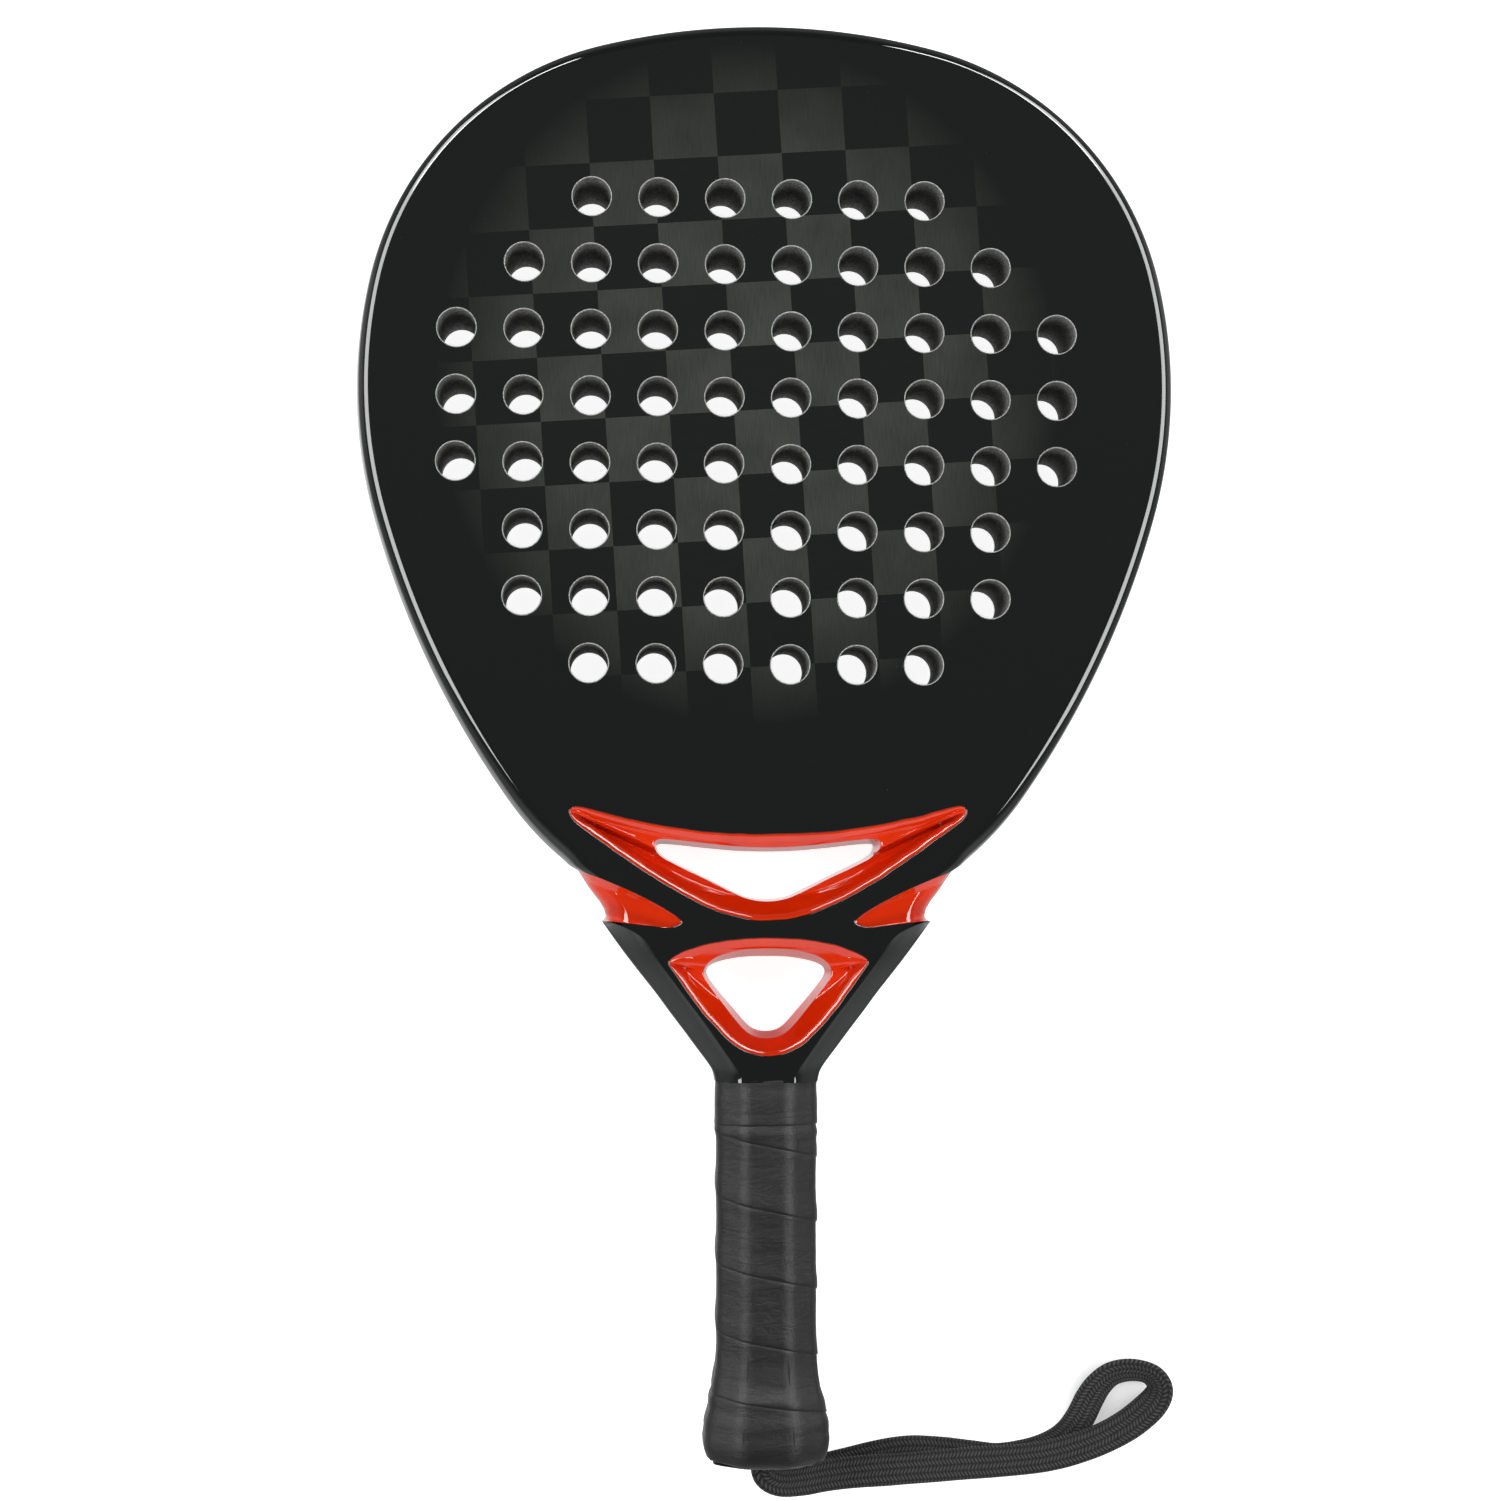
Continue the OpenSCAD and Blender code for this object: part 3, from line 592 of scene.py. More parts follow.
LOWER_WALL = [(0, -65.5), (3.2, -65.55), (6.4, -65.7), (9.6, -66.1), (12.8, -66.9), (15.4, -67.8),
              (17.6, -69.1), (19.2, -70.6), (19.9, -71.9), (20.1, -73.1), (19.9, -74.3), (19.0, -76.1),
              (17.6, -78.2), (15.8, -80.6), (13.8, -83.1), (11.8, -85.7), (9.8, -88.2), (7.6, -90.7),
              (5.3, -92.6), (2.8, -93.6), (0, -93.9)]
LOWER_HOLE = [(0, -68.3), (2.8, -68.3), (5.6, -68.4), (8.4, -68.65), (11.2, -69.1), (13.6, -69.6),
              (15.8, -70.25), (17.5, -71.1), (18.4, -71.9), (18.75, -72.8), (18.6, -73.9), (17.9, -75.3),
              (16.6, -77.1), (14.8, -79.4), (12.8, -81.8), (10.8, -84.1), (8.8, -86.4), (6.8, -88.7),
              (4.7, -90.6), (2.5, -91.6), (0, -91.9)]


def wobble(loop, size, seed):
    """Slight hand-painted waver of an edge, in plan."""
    out = []
    for p in loop:
        q = Vector((p[0] * 0.22, p[1] * 0.22, seed))
        out.append(Vector((p[0] + size * noise.noise(q), p[1] + size * noise.noise(q + Vector((7, 3, 0))))))
    return out


WINDOW_STEPS = 4
windows = {}
for key, loops in (("upper", (UPPER_OUT, UPPER_WALL, UPPER_HOLE)), ("lower", (LOWER_OUT, LOWER_WALL, LOWER_HOLE))):
    out, wall, hole = (catmull(mirror_half(h), WINDOW_STEPS, True) for h in loops)
    seed = 3.0 if key == "upper" else 9.0
    windows[key] = (wobble(out, 0.22, seed), [Vector(p) for p in wall], [Vector(p) for p in hole])


# rows of a window's lip as (distance in from the edge, drop below the face): along the top, and down the flanks
UPPER_TOP = ((-0.15, 0.95), (-0.03, 0.30), (0.12, 0.20), (0.50, 0.22), (0.66, 0.27), (0.80, 0.38), (0.95, 0.50),
             (1.7, 1.17), (2.45, 1.86), (2.60, 2.00), (2.78, 2.06))
UPPER_FLANK = ((-0.15, 0.95), (-0.03, 0.30), (0.12, 0.20), (0.40, 0.22), (0.65, 0.28), (0.90, 0.39),
               (1.10, 0.51), (1.30, 0.66), (1.50, 0.83), (1.75, 1.08), (2.00, 1.34))
LOWER_TOP = ((-0.15, 0.95), (-0.03, 0.30), (0.10, 0.20), (0.22, 0.24), (0.34, 0.34), (0.46, 0.44), (0.70, 0.66),
             (1.5, 1.40), (2.26, 2.10), (2.40, 2.24), (2.56, 2.30))
LOWER_FLANK = ((-0.15, 0.95), (-0.03, 0.30), (0.12, 0.20), (0.48, 0.22), (0.66, 0.27), (0.92, 0.38),
               (1.16, 0.53), (1.36, 0.70), (1.52, 0.86), (1.72, 1.08), (1.95, 1.36))


FLANK_SLOPE = 1.05  # least fall of a flank per millimetre inwards
CORNER_SPAN = 9.0  # outline points over which an opening's corner is sunk
LIP_IN, LIP_DROP = 0.12, 0.20  # end of the lip, which keeps its size up to the tips
TIP_REACH = 7.5  # distance from a tip within which the rows close up


def liner(key, node, top_rows, flank_rows, wall_drop, corner_drop):
    """Red funnel round a window: a lip, a band or slope that fans in to the opening, and the inner wall."""
    out, wall, hole = windows[key]
    n = len(out)
    half = n / 2
    corner = max(range(int(half)), key=lambda i: out[i].x)
    tips = (out[corner], out[n - corner])
    away = offset(out, 1.0)
    style, size = [], []
    for i, p in enumerate(out):
        k = i if i <= half else n - i              # points from the middle of the top, on either side
        style.append(1 - smooth((k - corner + 1.2) / 1.8))
        size.append(clamp(min((p - t).length for t in tips) / TIP_REACH, 0.10))
    m = Mesh()

    def ring(points, drops):
        return m.ring([(p.x, p.y, face_z(o.y) - d) for p, d, o in zip(points, drops, out)])

    rings = []
    for (dt, zt), (df, zf) in zip(top_rows, flank_rows):
        pts, drops = [], []
        for p, q, t, k in zip(out, away, style, size):
            d, z = lerp(df, dt, t), lerp(zf, zt, t)
            if d > LIP_IN:
                d, z = LIP_IN + (d - LIP_IN) * k, LIP_DROP + (z - LIP_DROP) * k
            pts.append(p + (q - p) * d)
            drops.append(z)
        rings.append(ring(pts, drops))
    last_pts, last_drops = pts, drops
    walls = []
    for i in range(n):
        past = (i if i <= half else n - i) - corner
        span = CORNER_SPAN if past > 0 else CORNER_SPAN / 2
        down = smooth(clamp(past / (half - corner)) * 2.2)
        walls.append(lerp(lerp(wall_drop[0], wall_drop[1], down), corner_drop, math.exp(-(past / span) ** 2)))
    steep = [t < 0.5 and max(FLANK_SLOPE, (z1 - z0) / max((w - q).length, 0.01))
             for t, z0, z1, q, w in zip(style, last_drops, walls, last_pts, wall)]
    for f in (0.04, 0.1, 0.17, 0.24, 0.31, 0.38, 0.45, 0.52, 0.6, 0.68, 0.76, 0.84, 0.91, 0.96, 1.0):
        drops = []
        for q, w, z0, z1, slope in zip(last_pts, wall, last_drops, walls, steep):
            run = f * (w - q).length * slope if slope else f * (z1 - z0)
            drops.append(min(z0 + run, z1) if z1 > z0 else lerp(z0, z1, f))
        rings.append(ring([q.lerp(w, f) for q, w in zip(last_pts, wall)], drops))
    mids = [face_z(p.y) - MID for p in out]
    for f in (0.05, 0.15, 0.4, 0.7, 0.92, 1.0):
        rings.append(ring([w.lerp(h, f) for w, h in zip(wall, hole)],
                          [lerp(z, e, f) for z, e in zip(walls, mids)]))
    m.sheet(rings, flip=True)
    m.mirrored_back()
    return m.piece(key + "_window_liner_dished", [red], "red_lacquer", [node])


liner("upper", "upper_window_liner", UPPER_TOP, UPPER_FLANK, (2.9, 8.2), 8.6)
liner("lower", "lower_window_liner", LOWER_TOP, LOWER_FLANK, (3.3, 7.8), 5.6)


# ---- black shell: faces, rim, legs
def shell():
    m = Mesh()
    rim_rows = []
    for n_in, z in RIM:
        right = [rim_place(s, n_in) for s in RUNS]
        row = [(-p.x, p.y, z) for p in right[:0:-1]] + [(p.x, p.y, z) for p in right]
        rim_rows.append(m.ring(row))
    low_rows = [rim_rows[-1]]
    for (n_in, z), row in list(zip(RIM, rim_rows))[-2::-1]:
        low_rows.append(m.ring([(m.verts[i][0], m.verts[i][1], 2 * MID - z) for i in row]))
    every = rim_rows + low_rows[1:]
    m.sheet(every, closed=False)

    # closed edge of the front face, clockwise from the left end of the rim
    rim_edge = [Vector(m.verts[i][:2]) for i in rim_rows[0]]
    right_part = notch_line[1:] + leg_line[1:]
    base = [Vector((x, leg_line[-1].y)) for x in (5, 0, -5)]
    left_part = [Vector((-p.x, p.y)) for p in reversed(right_part)]
    edge = rim_edge + right_part + base + left_part
    corners = [Vector((sx * 50.0, -56.95)) for sx in (-1, 1)]
    ring0 = edge
    ring1 = offset(edge, 0.32, corners)
    ring2 = offset(edge, 0.66, corners)

    for back in (False, True):
        def lift(p, drop):
            z = face_z(p[1]) - drop
            return (p[0], p[1], 2 * MID - z if back else z)

        rows = [m.ring([lift(p, 0.03) for p in ring0]), m.ring([lift(p, 0.0) for p in ring1]),
                m.ring([lift(p, 0.0) for p in ring2])]
        for a, b in zip(rows, rows[1:]):
            m.bridge(b, a, flip=back)

        # notch edges turn down into the recess
        first = len(rim_edge) - 1
        span = list(range(first, first + len(notch_line)))
        for side in (span, [(-1 - i + len(rim_edge)) % len(edge) for i in span]):
            pts = [ring0[i] for i in side]
            outer = [ring0[i] + (ring0[i] - ring1[i]) * 0.35 for i in side]
            a = [rows[0][i] for i in side]
            b = m.ring([lift(p, 0.22) for p in outer])
            c = m.ring([lift(p, 1.6) for p in outer])
            flip = (side is span) == back
            m.bridge(a, b, closed=False, flip=flip)
            m.bridge(b, c, closed=False, flip=flip)

        flat = [ring2]
        index = [rows[2]]
        openings = []
        for key in ("upper", "lower"):
            out = windows[key][0]
            away = offset(out, -1.0)
            loops = [[p.lerp(q, f) for p, q in zip(out, away)] for f in (0.0, 0.0, 0.1, 0.32, 0.62)]
            drops = (1.6, 0.30, 0.06, 0.0, 0.0)
            made = [m.ring([lift(p, d) for p in loop]) for loop, d in zip(loops, drops)]
            m.sheet(made, flip=back)
            flat.append(loops[-1])
            index.append(made[-1])
            openings.append(loops[-1])
        for cx, cy in HOLES:
            made = []
            for r, d in ((HOLE_R, 1.35), (HOLE_R, 0.42), (6.03, 0.24), (6.16, 0.08), (6.34, 0.0), (6.7, 0.0)):
                pts = [Vector((cx + r * math.cos(2 * math.pi * k / 40), cy - r * math.sin(2 * math.pi * k / 40)))
                       for k in range(40)]
                made.append(m.ring([lift(p, d) for p in pts]))
            for k, (a, b) in enumerate(zip(made, made[1:])):
                m.bridge(a, b, mat=(1, 1, 2, 2, 0)[k], flip=back)
            flat.append(pts)
            index.append(made[-1])

        coords, edges, names = [], [], []
        for loop, idx in zip(flat, index):
            start = len(coords)
            coords.extend(Vector((p[0], p[1])) for p in loop)
            names.extend(idx)
            k = len(loop)
            edges.extend((start + i, start + (i + 1) % k) for i in range(k))
        for y in range(-68, -107, -2):
            for x in range(-60, 61, 3):
                p = Vector((x, y))
                if inside(p, ring2) and clear(p, ring2, 1.2) and all(
                        not inside(p, h) and clear(p, h, 1.2) for h in openings):
                    coords.append(p)
                    names.append(m.ring([lift(p, 0.0)])[0])
        got = delaunay_2d_cdt(coords, edges, [], 0, 1e-5)
        verts2, faces2, origin = got[0], got[2], got[3]
        added = {}
        for tri in faces2:
            c = sum((verts2[i] for i in tri), Vector((0, 0))) / 3
            if not inside(c, ring2) or any(inside(c, h) for h in openings) or any(
                    (c.x - x) ** 2 + (c.y - y) ** 2 < HOLE_CLEAR ** 2 for x, y in HOLES):
                continue
            ids = []
            for i in tri:
                if origin[i]:
                    ids.append(names[origin[i][0]])
                else:
                    if i not in added:
                        added[i] = m.ring([lift(verts2[i], 0.0)])[0]
                    ids.append(added[i])
            a, b, c3 = (Vector(m.verts[i][:2]) for i in ids)
            up = (b - a).cross(c3 - a) > 0
            m.face(ids if up != back else ids[::-1])

    # legs: from the face's edge round the sloped side to the back face's edge
    for sx in (1, -1):
        def leg_rows():
            rows = []
            for f, g in LEG_SECTION:
                rows.append([(sx * lerp(a.x, b.x, f), lerp(a.y, b.y, f), leg_z(a, f, g))
                             for a, b in zip(leg_line, side_line)])
            rows.append([(x, y, MID) for x, y, _ in rows[-1]])
            return rows

        front = leg_rows()
        made = [m.ring(r) for r in front]
        lower = [m.ring([(x, y, 2 * MID - z) for x, y, z in r]) for r in front[-2::-1]]
        every = made + lower
        m.sheet(every, closed=False, flip=sx < 0)
        cap = [r[0] for r in every]
        m.face(cap if sx > 0 else cap[::-1])
    return m.piece("carbon_shell", [carbon, foam, cut_edge], "lacquered_carbon",
                   ["head_hoop", "front_face", "back_face", "head_bridge", "left_throat_leg",
                    "right_throat_leg", "throat_web"])


def inside(p, loop):
    x, y = p[0], p[1]
    hit = False
    j = len(loop) - 1
    for i in range(len(loop)):
        xi, yi, xj, yj = loop[i][0], loop[i][1], loop[j][0], loop[j][1]
        if (yi > y) != (yj > y) and x < (xj - xi) * (y - yi) / (yj - yi) + xi:
            hit = not hit
        j = i
    return hit


def clear(p, loop, room):
    return all((p[0] - q[0]) ** 2 + (p[1] - q[1]) ** 2 > room * room for q in loop)


# heights where a leg's slope meets its upright side, at the shoulder and at the handle
LEG_SIDE_Z, LEG_FOOT_Z = 26.0, 24.0


def leg_section():
    """Leg's side as (share of the way out, share of the way down to the upright side)."""
    rows = [(0.0, 0.0), (0.03, 0.012)]
    for k in range(1, 9):
        t = k / 8
        rows.append((0.03 + 0.87 * t, 0.012 + 0.70 * (0.55 * t + 0.45 * t * t)))
    for k in range(1, 7):
        a = math.radians(90 * k / 6)
        rows.append((0.90 + 0.10 * math.sin(a), 0.712 + 0.288 * (1 - math.cos(a)) ** 0.9))
    return rows


LEG_SECTION = leg_section()


def leg_z(a, f, g):
    return lerp(face_z(a.y) - 0.03, lerp(LEG_SIDE_Z, LEG_FOOT_Z, smooth((-60 - a.y) / 46)), g)


# drilled holes: how many in each row, their radius, the grid's pitch, its slight turn and its centre
ROWS, HOLE_R = (6, 8, 10, 10, 10, 8, 8, 6), 6.0
PITCH, TURN, FIELD = 21.0, math.radians(-0.3), (-3.2, 96.8)
HOLE_CLEAR = 6.78  # triangles centred nearer than this to a hole are left out
HOLES = []
for r, count in enumerate(ROWS):
    for k in range(count):
        gx, gy = (k - (count - 1) / 2) * PITCH, (3.5 - r) * PITCH
        HOLES.append((FIELD[0] + gx * math.cos(TURN) - gy * math.sin(TURN),
                      FIELD[1] + gx * math.sin(TURN) + gy * math.cos(TURN)))

shell()


# ---- notch panels
OUTER_EDGE = [(59.5, -41.1), (57.9, -43.6), (56.3, -46.1), (54.7, -48.3), (53.1, -50.3), (51.9, -52.1),
              (51.1, -53.6), (50.7, -55.1), (51.0, -56.1), (51.9, -57.0)]


def rim_height(n):
    """Height of the rim's surface at an inset."""
    rows = sorted(RIM)
    return table([(a, z) for a, z in rows], n)


NOTCH_STATIONS = 46


def notch_panel(sx, node):
    """Red recess between the head and a leg: a wall under the head, a flat floor, a hollow lip outside."""
    tip = 8 * 4                                    # index of the notch's tip on its smoothed edge
    upper = [CUT_OUT.lerp(CUT_IN, k / 10) for k in range(10)] + notch_line[:tip + 1]
    upper = resample(upper[::-1], NOTCH_STATIONS)  # tip to outside
    lower = resample(notch_line[tip:] + [Vector((51.0, -56.98)), Vector((51.9, -57.05))], NOTCH_STATIONS)
    rim_side = resample(catmull(OUTER_EDGE, 5), 41)
    m = Mesh()
    wall_rows = ((0.0, 0.0), (0.05, 0.03), (0.14, 0.12), (0.5, 0.52), (0.84, 0.90), (0.94, 0.98), (1.0, 1.0))
    floor_rows = (0.03, 0.12, 0.3, 0.5, 0.7, 0.86, 0.95, 1.0)
    grid = []
    for k in range(NOTCH_STATIONS):
        t = k / (NOTCH_STATIONS - 1)
        u, lo = upper[k], lower[k]
        wide = max((u - lo).length, 0.05)
        wall = min(0.45, lerp(0.5, 4.0, smooth(t)) / wide)
        floor = TOP - lerp(0.45, 4.4, t ** 0.9)
        if t > 0.70:                               # the hollow lip falls away to the mid-plane
            x = (t - 0.70) / 0.30
            floor = lerp(floor, MID, 0.16 * x + 0.84 * (1 - math.sqrt(max(0.0, 1 - x ** 2.6))))
        past = clamp(1 - (u - CUT_OUT).length / (CUT_IN - CUT_OUT).length)
        z_edge = max(rim_height(RIM_IN * (1 - past)) - 0.25, floor)
        row = []

        def place(v, z):
            p = u.lerp(lo, v)
            end = rim_side[int(round(v * 40))]
            p += (end - upper[-1].lerp(lower[-1], v)) * t * t
            row.append((sx * p.x, p.y, z))

        for v, g in wall_rows:
            place(wall * v, lerp(z_edge, floor, g))
        for v in floor_rows:
            place(lerp(wall, 1, v), floor)
        row.append((sx * lo.x, lo.y - 0.02, lerp(face_z(lo.y) - 0.25, MID, smooth((t - 0.93) / 0.07))))
        grid.append(m.ring(row))
    m.sheet(grid, closed=False, flip=sx < 0)
    m.mirrored_back()
    return m.piece(node + "_dished", [red], "red_lacquer", [node])


notch_panel(1, "right_notch_panel")
notch_panel(-1, "left_notch_panel")


# ---- handle
FLARE = [(-227.5, 0.80, 0.80), (-226.6, 0.885, 0.89), (-225.5, 0.93, 0.94), (-222.5, 0.98, 0.985),
         (-219, 1.0, 1.0), (-215, 0.985, 0.985), (-211, 0.945, 0.955), (-203, 0.86, 0.88), (-196, 0.815, 0.845),
         (-190, 0.8, 0.8333)]
BUTT_W, BUTT_D = 40.0, 36.0
SIDE_POINTS = 96


def octagon_section():
    """Unit section of the handle as (x, z, share of the way round), with rounded corners."""
    w, d, fx, fz = 16.0, 15.0, 7.0, 7.0
    corners = [(-w, -fz), (-w, fz), (-fx, d), (fx, d), (w, fz), (w, -fz), (fx, -d), (-fx, -d)]
    pts = []
    for i, c in enumerate(corners):
        a, b = Vector(corners[i - 1]), Vector(corners[(i + 1) % 8])
        c = Vector(c)
        r = 2.6
        p0, p1 = c + (a - c).normalized() * r, c + (b - c).normalized() * r
        for k in range(7):
            t = k / 6
            pts.append(p0.lerp(c, t).lerp(c.lerp(p1, t), t))
    return resample(pts, SIDE_POINTS, True)


SECTION = octagon_section()
NORMALS = []
for i in range(SIDE_POINTS):
    d = SECTION[(i + 1) % SIDE_POINTS] - SECTION[i - 1]
    NORMALS.append(Vector((-d.y, d.x)).normalized())


def size_at(y):
    w = table([(a, b) for a, b, _ in FLARE], y) * BUTT_W / 32
    d = table([(a, c) for a, _, c in FLARE], y) * BUTT_D / 30
    return w, d


def handle_point(i, y, out):
    i %= SIDE_POINTS
    w, d = size_at(y)
    p, nrm = SECTION[i], NORMALS[i]
    return (p.x * w + nrm.x * out, y, MID + p.y * d + nrm.y * out)


# soft ridges round the wrap as (height, half width, rise): under the band, and over the skirt's end on the flare
RIDGES = ((-123.2, 1.5, 0.5), (-206.6, 2.0, 0.6), (-213.5, 2.2, 0.5), (-220.5, 2.4, 0.2))


def ridge(y):
    return sum(rise * math.exp(-((y - at) / half) ** 2) for at, half, rise in RIDGES)


# seam heights down the left and the right front corner of the wrap
SEAM_L = (-101.5, -123.4, -143.3, -164.4, -185.6, -204.6, -225.0)
SEAM_R = (-111.5, -131.5, -151.7, -172.7, -193.4, -211.0, -231.0)


# where those two corners lie, as shares of a turn
LEFT_AT = 2.0 / 8.0 - 0.10
RIGHT_AT = LEFT_AT + 0.40


def seam_y(turns):
    """Height of the wrap's seam after so many turns, through its measured heights."""
    keys = []
    for k in range(len(SEAM_L)):
        keys.append((k + LEFT_AT, SEAM_L[k]))
        keys.append((k + RIGHT_AT, SEAM_R[k]))
    return table(keys, turns)


def overgrip():
    m = Mesh()
    steps = ((0.0, -0.10), (0.014, 0.02), (0.06, 0.03), (0.11, 0.02), (0.16, 0.0), (0.22, -0.01), (0.28, -0.02),
             (0.34, -0.02), (0.39, -0.02), (0.44, -0.02), (0.50, -0.01), (0.56, 0.0), (0.62, 0.04),
             (0.68, 0.08), (0.76, 0.22), (0.84, 0.36), (0.91, 0.42), (0.96, 0.44), (0.983, 0.42), (0.994, 0.30))
    top, bottom = -119.2, -226.9
    cols = 6 * SIDE_POINTS
    grid = []
    for f, h in steps:
        row = []
        for c in range(cols + 1):
            turns = c / SIDE_POINTS
            ya, yb = seam_y(turns), seam_y(turns + 1)
            y = clamp(lerp(ya, yb, f), bottom, top)
            q = Vector((turns * 3.1, y * 0.12, f * 2))
            rough = 0.12 * noise.noise(q) + 0.06 * noise.noise(q * 3.7)
            rough += ridge(y) * (0.75 + 0.5 * noise.noise(q * 1.3))
            row.append(handle_point(c, y, h - 0.38 + rough))
        grid.append(m.ring(row))
    m.sheet(grid, closed=False, flip=True)
    last, first = grid[-1], grid[0]
    for c in range(cols - SIDE_POINTS):
        m.face((last[c], first[c + SIDE_POINTS], first[c + SIDE_POINTS + 1], last[c + 1]))
    # the wrap turns in over the butt's end
    y_prev = m.ring([handle_point(i, bottom, -0.30) for i in range(SIDE_POINTS)])
    for y, out in ((-227.3, -0.9), (-227.45, -2.4), (-227.2, -3.2)):
        ring = m.ring([handle_point(i, y, out) for i in range(SIDE_POINTS)])
        m.bridge(y_prev, ring, flip=True)
        y_prev = ring
    return m.piece("overgrip_wound", [wrap], "grip_wrap", ["overgrip"], merge=0.01)


overgrip()


def grip_band():
    m = Mesh()
    rows = ((-105.6, -1.9), (-105.75, -0.7), (-106.2, -0.15), (-107.0, 0.05), (-108.4, -0.12), (-110.4, -0.02),
            (-113.0, 0.10), (-115.5, 0.10), (-117.6, 0.04), (-119.2, 0.10), (-120.4, 0.16), (-121.0, 0.10),
            (-121.25, -0.15), (-121.3, -0.9))
    prev = None
    for y, out in rows:
        pts = []
        for i in range(SIDE_POINTS):
            a = i / SIDE_POINTS
            wave = 0.12 * noise.noise(Vector((SECTION[i].x * 0.2, y * 0.35, SECTION[i].y * 0.2)))
            slant = 0.35 * math.sin(2 * math.pi * (a - 0.2)) if y < -119 else 0.0
            pts.append(handle_point(i, y + slant, out + wave))
        ring = m.ring(pts)
        if prev:
            m.bridge(prev, ring, flip=True)
        prev = ring
    return m.piece("finishing_band", [band_mat], "grip_wrap", ["grip_band"])


grip_band()


def butt_cap():
    m = Mesh()
    slot = []
    for i in range(SIDE_POINTS):
        p = SECTION[i]
        a = math.atan2(p.y, p.x)
        w, h = 6.0, 4.2
        k = (abs(math.cos(a) / w) ** 5 + abs(math.sin(a) / h) ** 5) ** -0.2
        slot.append((math.cos(a) * k, MID + math.sin(a) * k))
    rows = [[handle_point(i, y, out) for i in range(SIDE_POINTS)]
            for y, out in ((-221, -2.2), (-225.5, -2.0), (-226.9, -2.3), (-227.35, -3.2), (-227.5, -4.2))]
    rings = [m.ring(r) for r in rows]
    edge = rows[-1]
    for f, y in ((0.35, -227.5), (0.7, -227.48), (0.9, -227.45)):
        rings.append(m.ring([(lerp(e[0], s[0], f), y, lerp(e[2], s[1], f)) for e, s in zip(edge, slot)]))
    for grow, y in ((1.03, -227.3), (1.0, -227.0), (1.0, -222.6)):
        rings.append(m.ring([(s[0] * grow, y, MID + (s[1] - MID) * grow) for s in slot]))
    m.sheet(rings, flip=True)
    return m.piece("butt_cap_moulded", [butt_mat], "butt_plastic", ["butt_cap"])


butt_cap()

# ---- floor and light
# the floor glows evenly, with a painted shadow: its glow is lower inside the strap's loop
PAINTED_SHADOW_CENTRE, FLOOR_HALF = (0.1135, -0.2115, 0), 3.0
floor_mat = Nodes("floor")
shadow_distance = floor_mat.node("ShaderNodeVectorMath", operation="DISTANCE")
floor_mat.link(floor_mat.coord(), shadow_distance.inputs[0])
shadow_distance.inputs[1].default_value = PAINTED_SHADOW_CENTRE
# glow drops towards the loop's centre: a painted contact shadow
glow_with_painted_shadow = floor_mat.node("ShaderNodeMapRange", Value=shadow_distance.outputs["Value"])
for socket, value in (("From Min", 0.006), ("From Max", 0.022), ("To Min", 0.30), ("To Max", 0.9)):
    glow_with_painted_shadow.inputs[socket].default_value = value
floor_mat.set(Base_Color=(0.72, 0.72, 0.72, 1), Roughness=0.9, Specular_IOR_Level=0.1, Emission_Color=(1, 1, 1, 1),
              Emission_Strength=glow_with_painted_shadow.outputs["Result"])
fm = bpy.data.meshes.new("floor")
corners = [(x * FLOOR_HALF, y * FLOOR_HALF, 0) for x, y in ((-1, -1), (1, -1), (1, 1), (-1, 1))]
fm.from_pydata(corners, [], [(0, 1, 2, 3)])
fm.materials.append(floor_mat.mat)
floor = bpy.data.objects.new("floor", fm)
scene.collection.objects.link(floor)
floor.visible_glossy = False


def panel(name, place, size, power, diffuse=True, glossy=True, aim=(0, 0, 0)):
    """Softbox at place, facing aim; size is its width and its height."""
    data = bpy.data.lights.new(name, "AREA")
    data.shape = "RECTANGLE"
    data.size, data.size_y = size
    data.energy = power
    obj = bpy.data.objects.new(name, data)
    obj.location = place
    obj.rotation_mode = "QUATERNION"
    obj.rotation_quaternion = (Vector(aim) - Vector(place)).to_track_quat("-Z", "Y")
    obj.visible_diffuse = diffuse
    obj.visible_glossy = glossy
    scene.collection.objects.link(obj)
    return obj


world = bpy.data.worlds.new("studio")
scene.world = world
world.use_nodes = True
wt = world.node_tree
wt.nodes.clear()
WORLD_NODES = ("OutputWorld", "Background", "TexCoord", "SeparateXYZ", "ValToRGB", "ValToRGB", "MapRange",
               "MapRange", "ValToRGB", "MapRange", "Mix")
w_out, w_bg, w_tc, w_sep, near, far, side, along, tilt, height, blend = (
    wt.nodes.new("ShaderNode" + kind) for kind in WORLD_NODES)
blend.data_type = "RGBA"
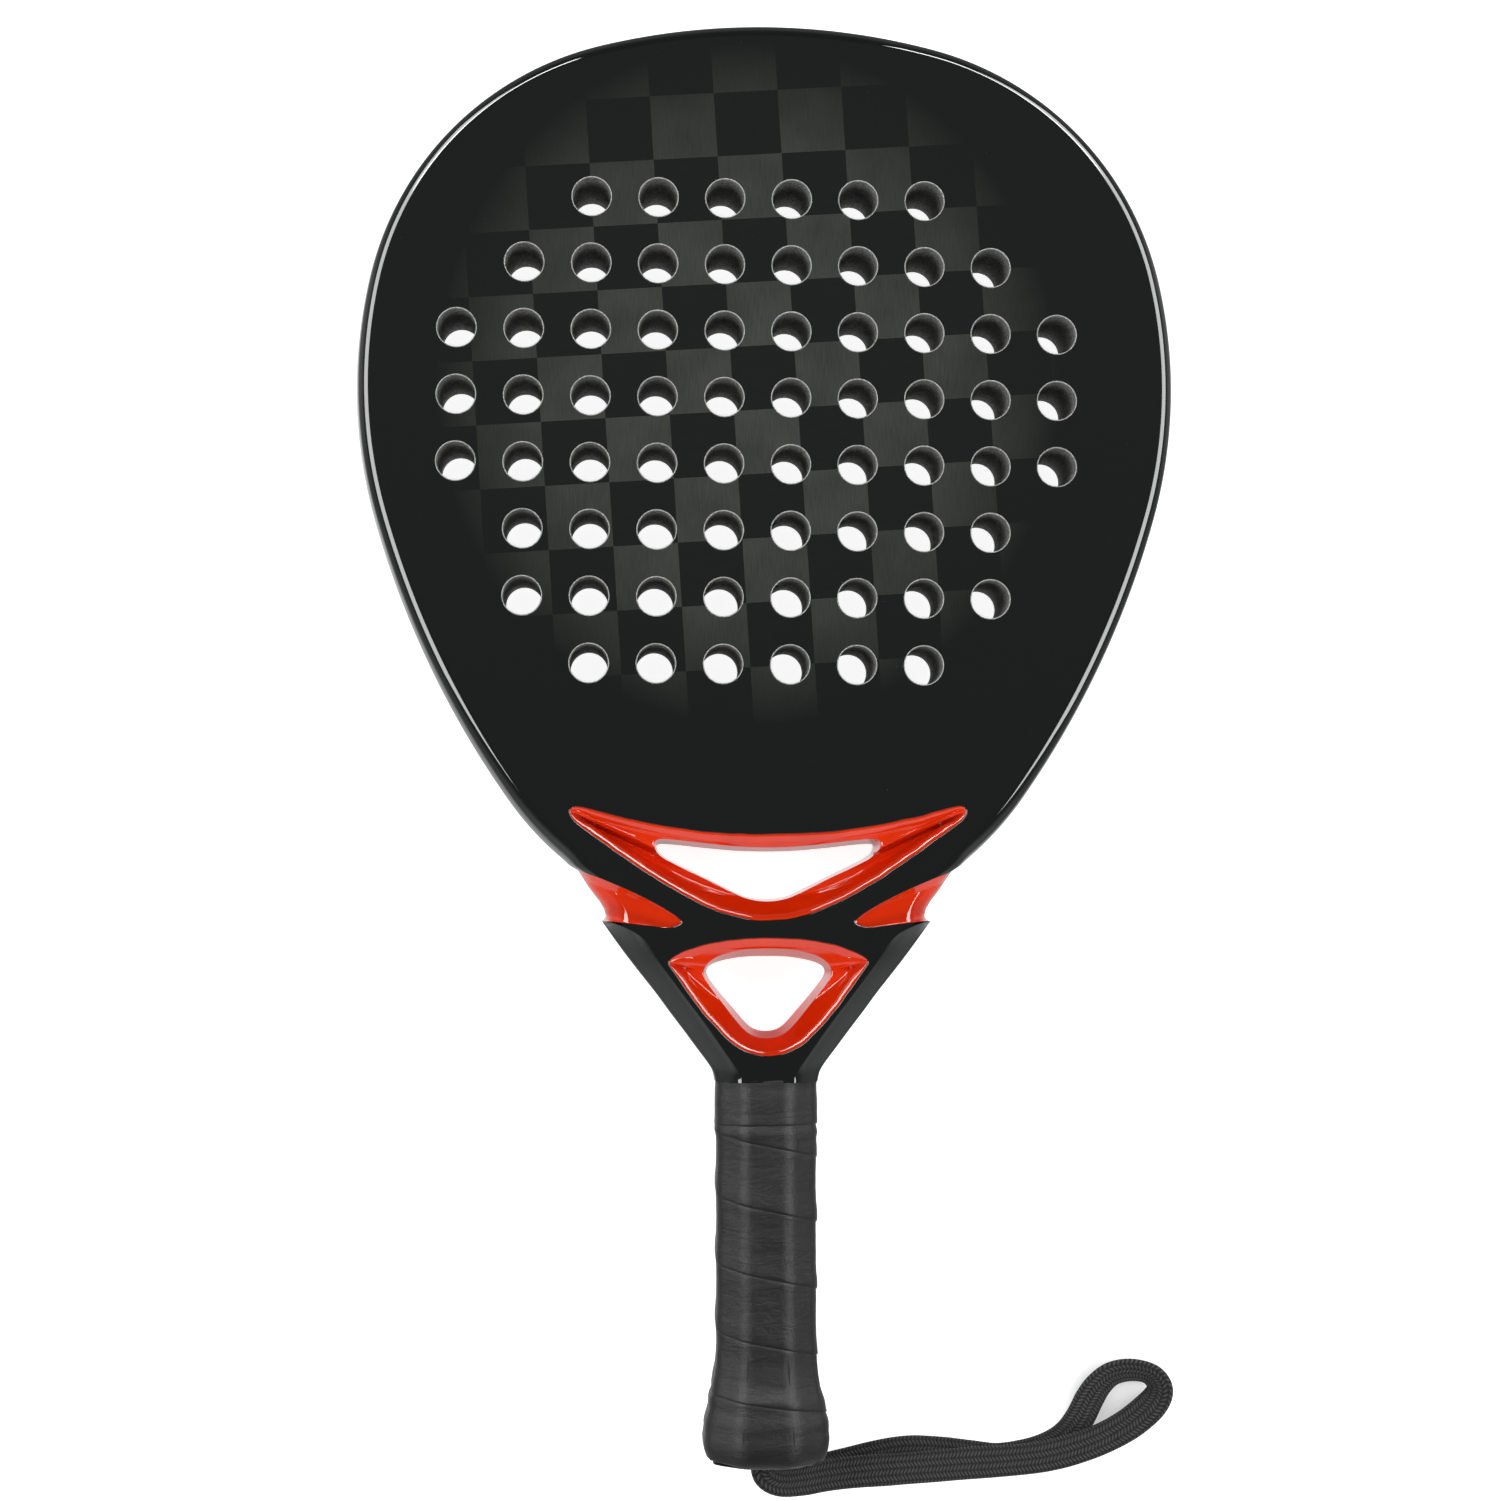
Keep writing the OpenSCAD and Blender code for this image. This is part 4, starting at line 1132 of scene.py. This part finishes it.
# brightness by height, from straight down to overhead: towards the handle, and elsewhere; then a factor along Y
NEAR_STOPS = ((0.0, 1.0), (0.46, 1.1), (0.56, 1.7), (0.74, 1.2), (0.90, 0.10), (1.0, 0.10))
FAR_STOPS = ((0.0, 0.8), (0.08, 0.6), (0.2, 0.42), (0.52, 0.55), (0.66, 0.16), (0.8, 0.09), (1.0, 0.09))
ALONG_STOPS = ((0.47, 0.65), (0.58, 1.4), (0.68, 1.4), (0.78, 0.6), (1.0, 0.6))
for ramp, source, stops in ((near, height, NEAR_STOPS), (far, height, FAR_STOPS), (tilt, along, ALONG_STOPS)):
    els = ramp.color_ramp.elements
    while len(els) < len(stops):
        els.new(0.5)
    for el, (pos, v) in zip(els, stops):
        el.position, el.color = pos, (v, v, v, 1)
    wt.links.new(source.outputs["Result"], ramp.inputs["Fac"])
for mr, socket, lo, hi in ((side, "Y", -0.80, -0.45), (along, "Y", -1, 1), (height, "Z", -1, 1)):
    mr.inputs["From Min"].default_value, mr.inputs["From Max"].default_value = lo, hi
    wt.links.new(w_sep.outputs[socket], mr.inputs["Value"])
wt.links.new(w_tc.outputs["Generated"], w_sep.inputs[0])
wt.links.new(side.outputs["Result"], blend.inputs["Factor"])
colour_ins = [i for i in blend.inputs if i.type == "RGBA"]
wt.links.new(near.outputs["Color"], colour_ins[0])
wt.links.new(far.outputs["Color"], colour_ins[1])
wt.links.new([o for o in blend.outputs if o.type == "RGBA"][0], w_bg.inputs["Color"])
wt.links.new(tilt.outputs["Color"], w_bg.inputs["Strength"])
wt.links.new(w_bg.outputs[0], w_out.inputs[0])

# three softboxes light the surfaces; four strips are only seen as reflections in the lacquer and the wrap
panel("key_left", (-1.5, 0.5, 1.7), (1.2, 1.6), 26, glossy=False)
panel("key_right", (1.5, 0.5, 1.7), (1.2, 1.6), 26, glossy=False)
panel("key_front", (0.0, -1.7, 1.5), (1.8, 1.0), 20, glossy=False)
for name, sx in (("left", -1), ("right", 1)):
    panel("strip_" + name, (sx * 1.15, 0.75, 1.05), (2.5, 0.84), 70, diffuse=False, aim=(0, 0.75, 0))
    panel("far_" + name, (sx * 0.74, 1.33, 1.30), (0.85, 0.20), 15, diffuse=False)

scene.view_settings.view_transform = "Standard"
scene.view_settings.look = "None"
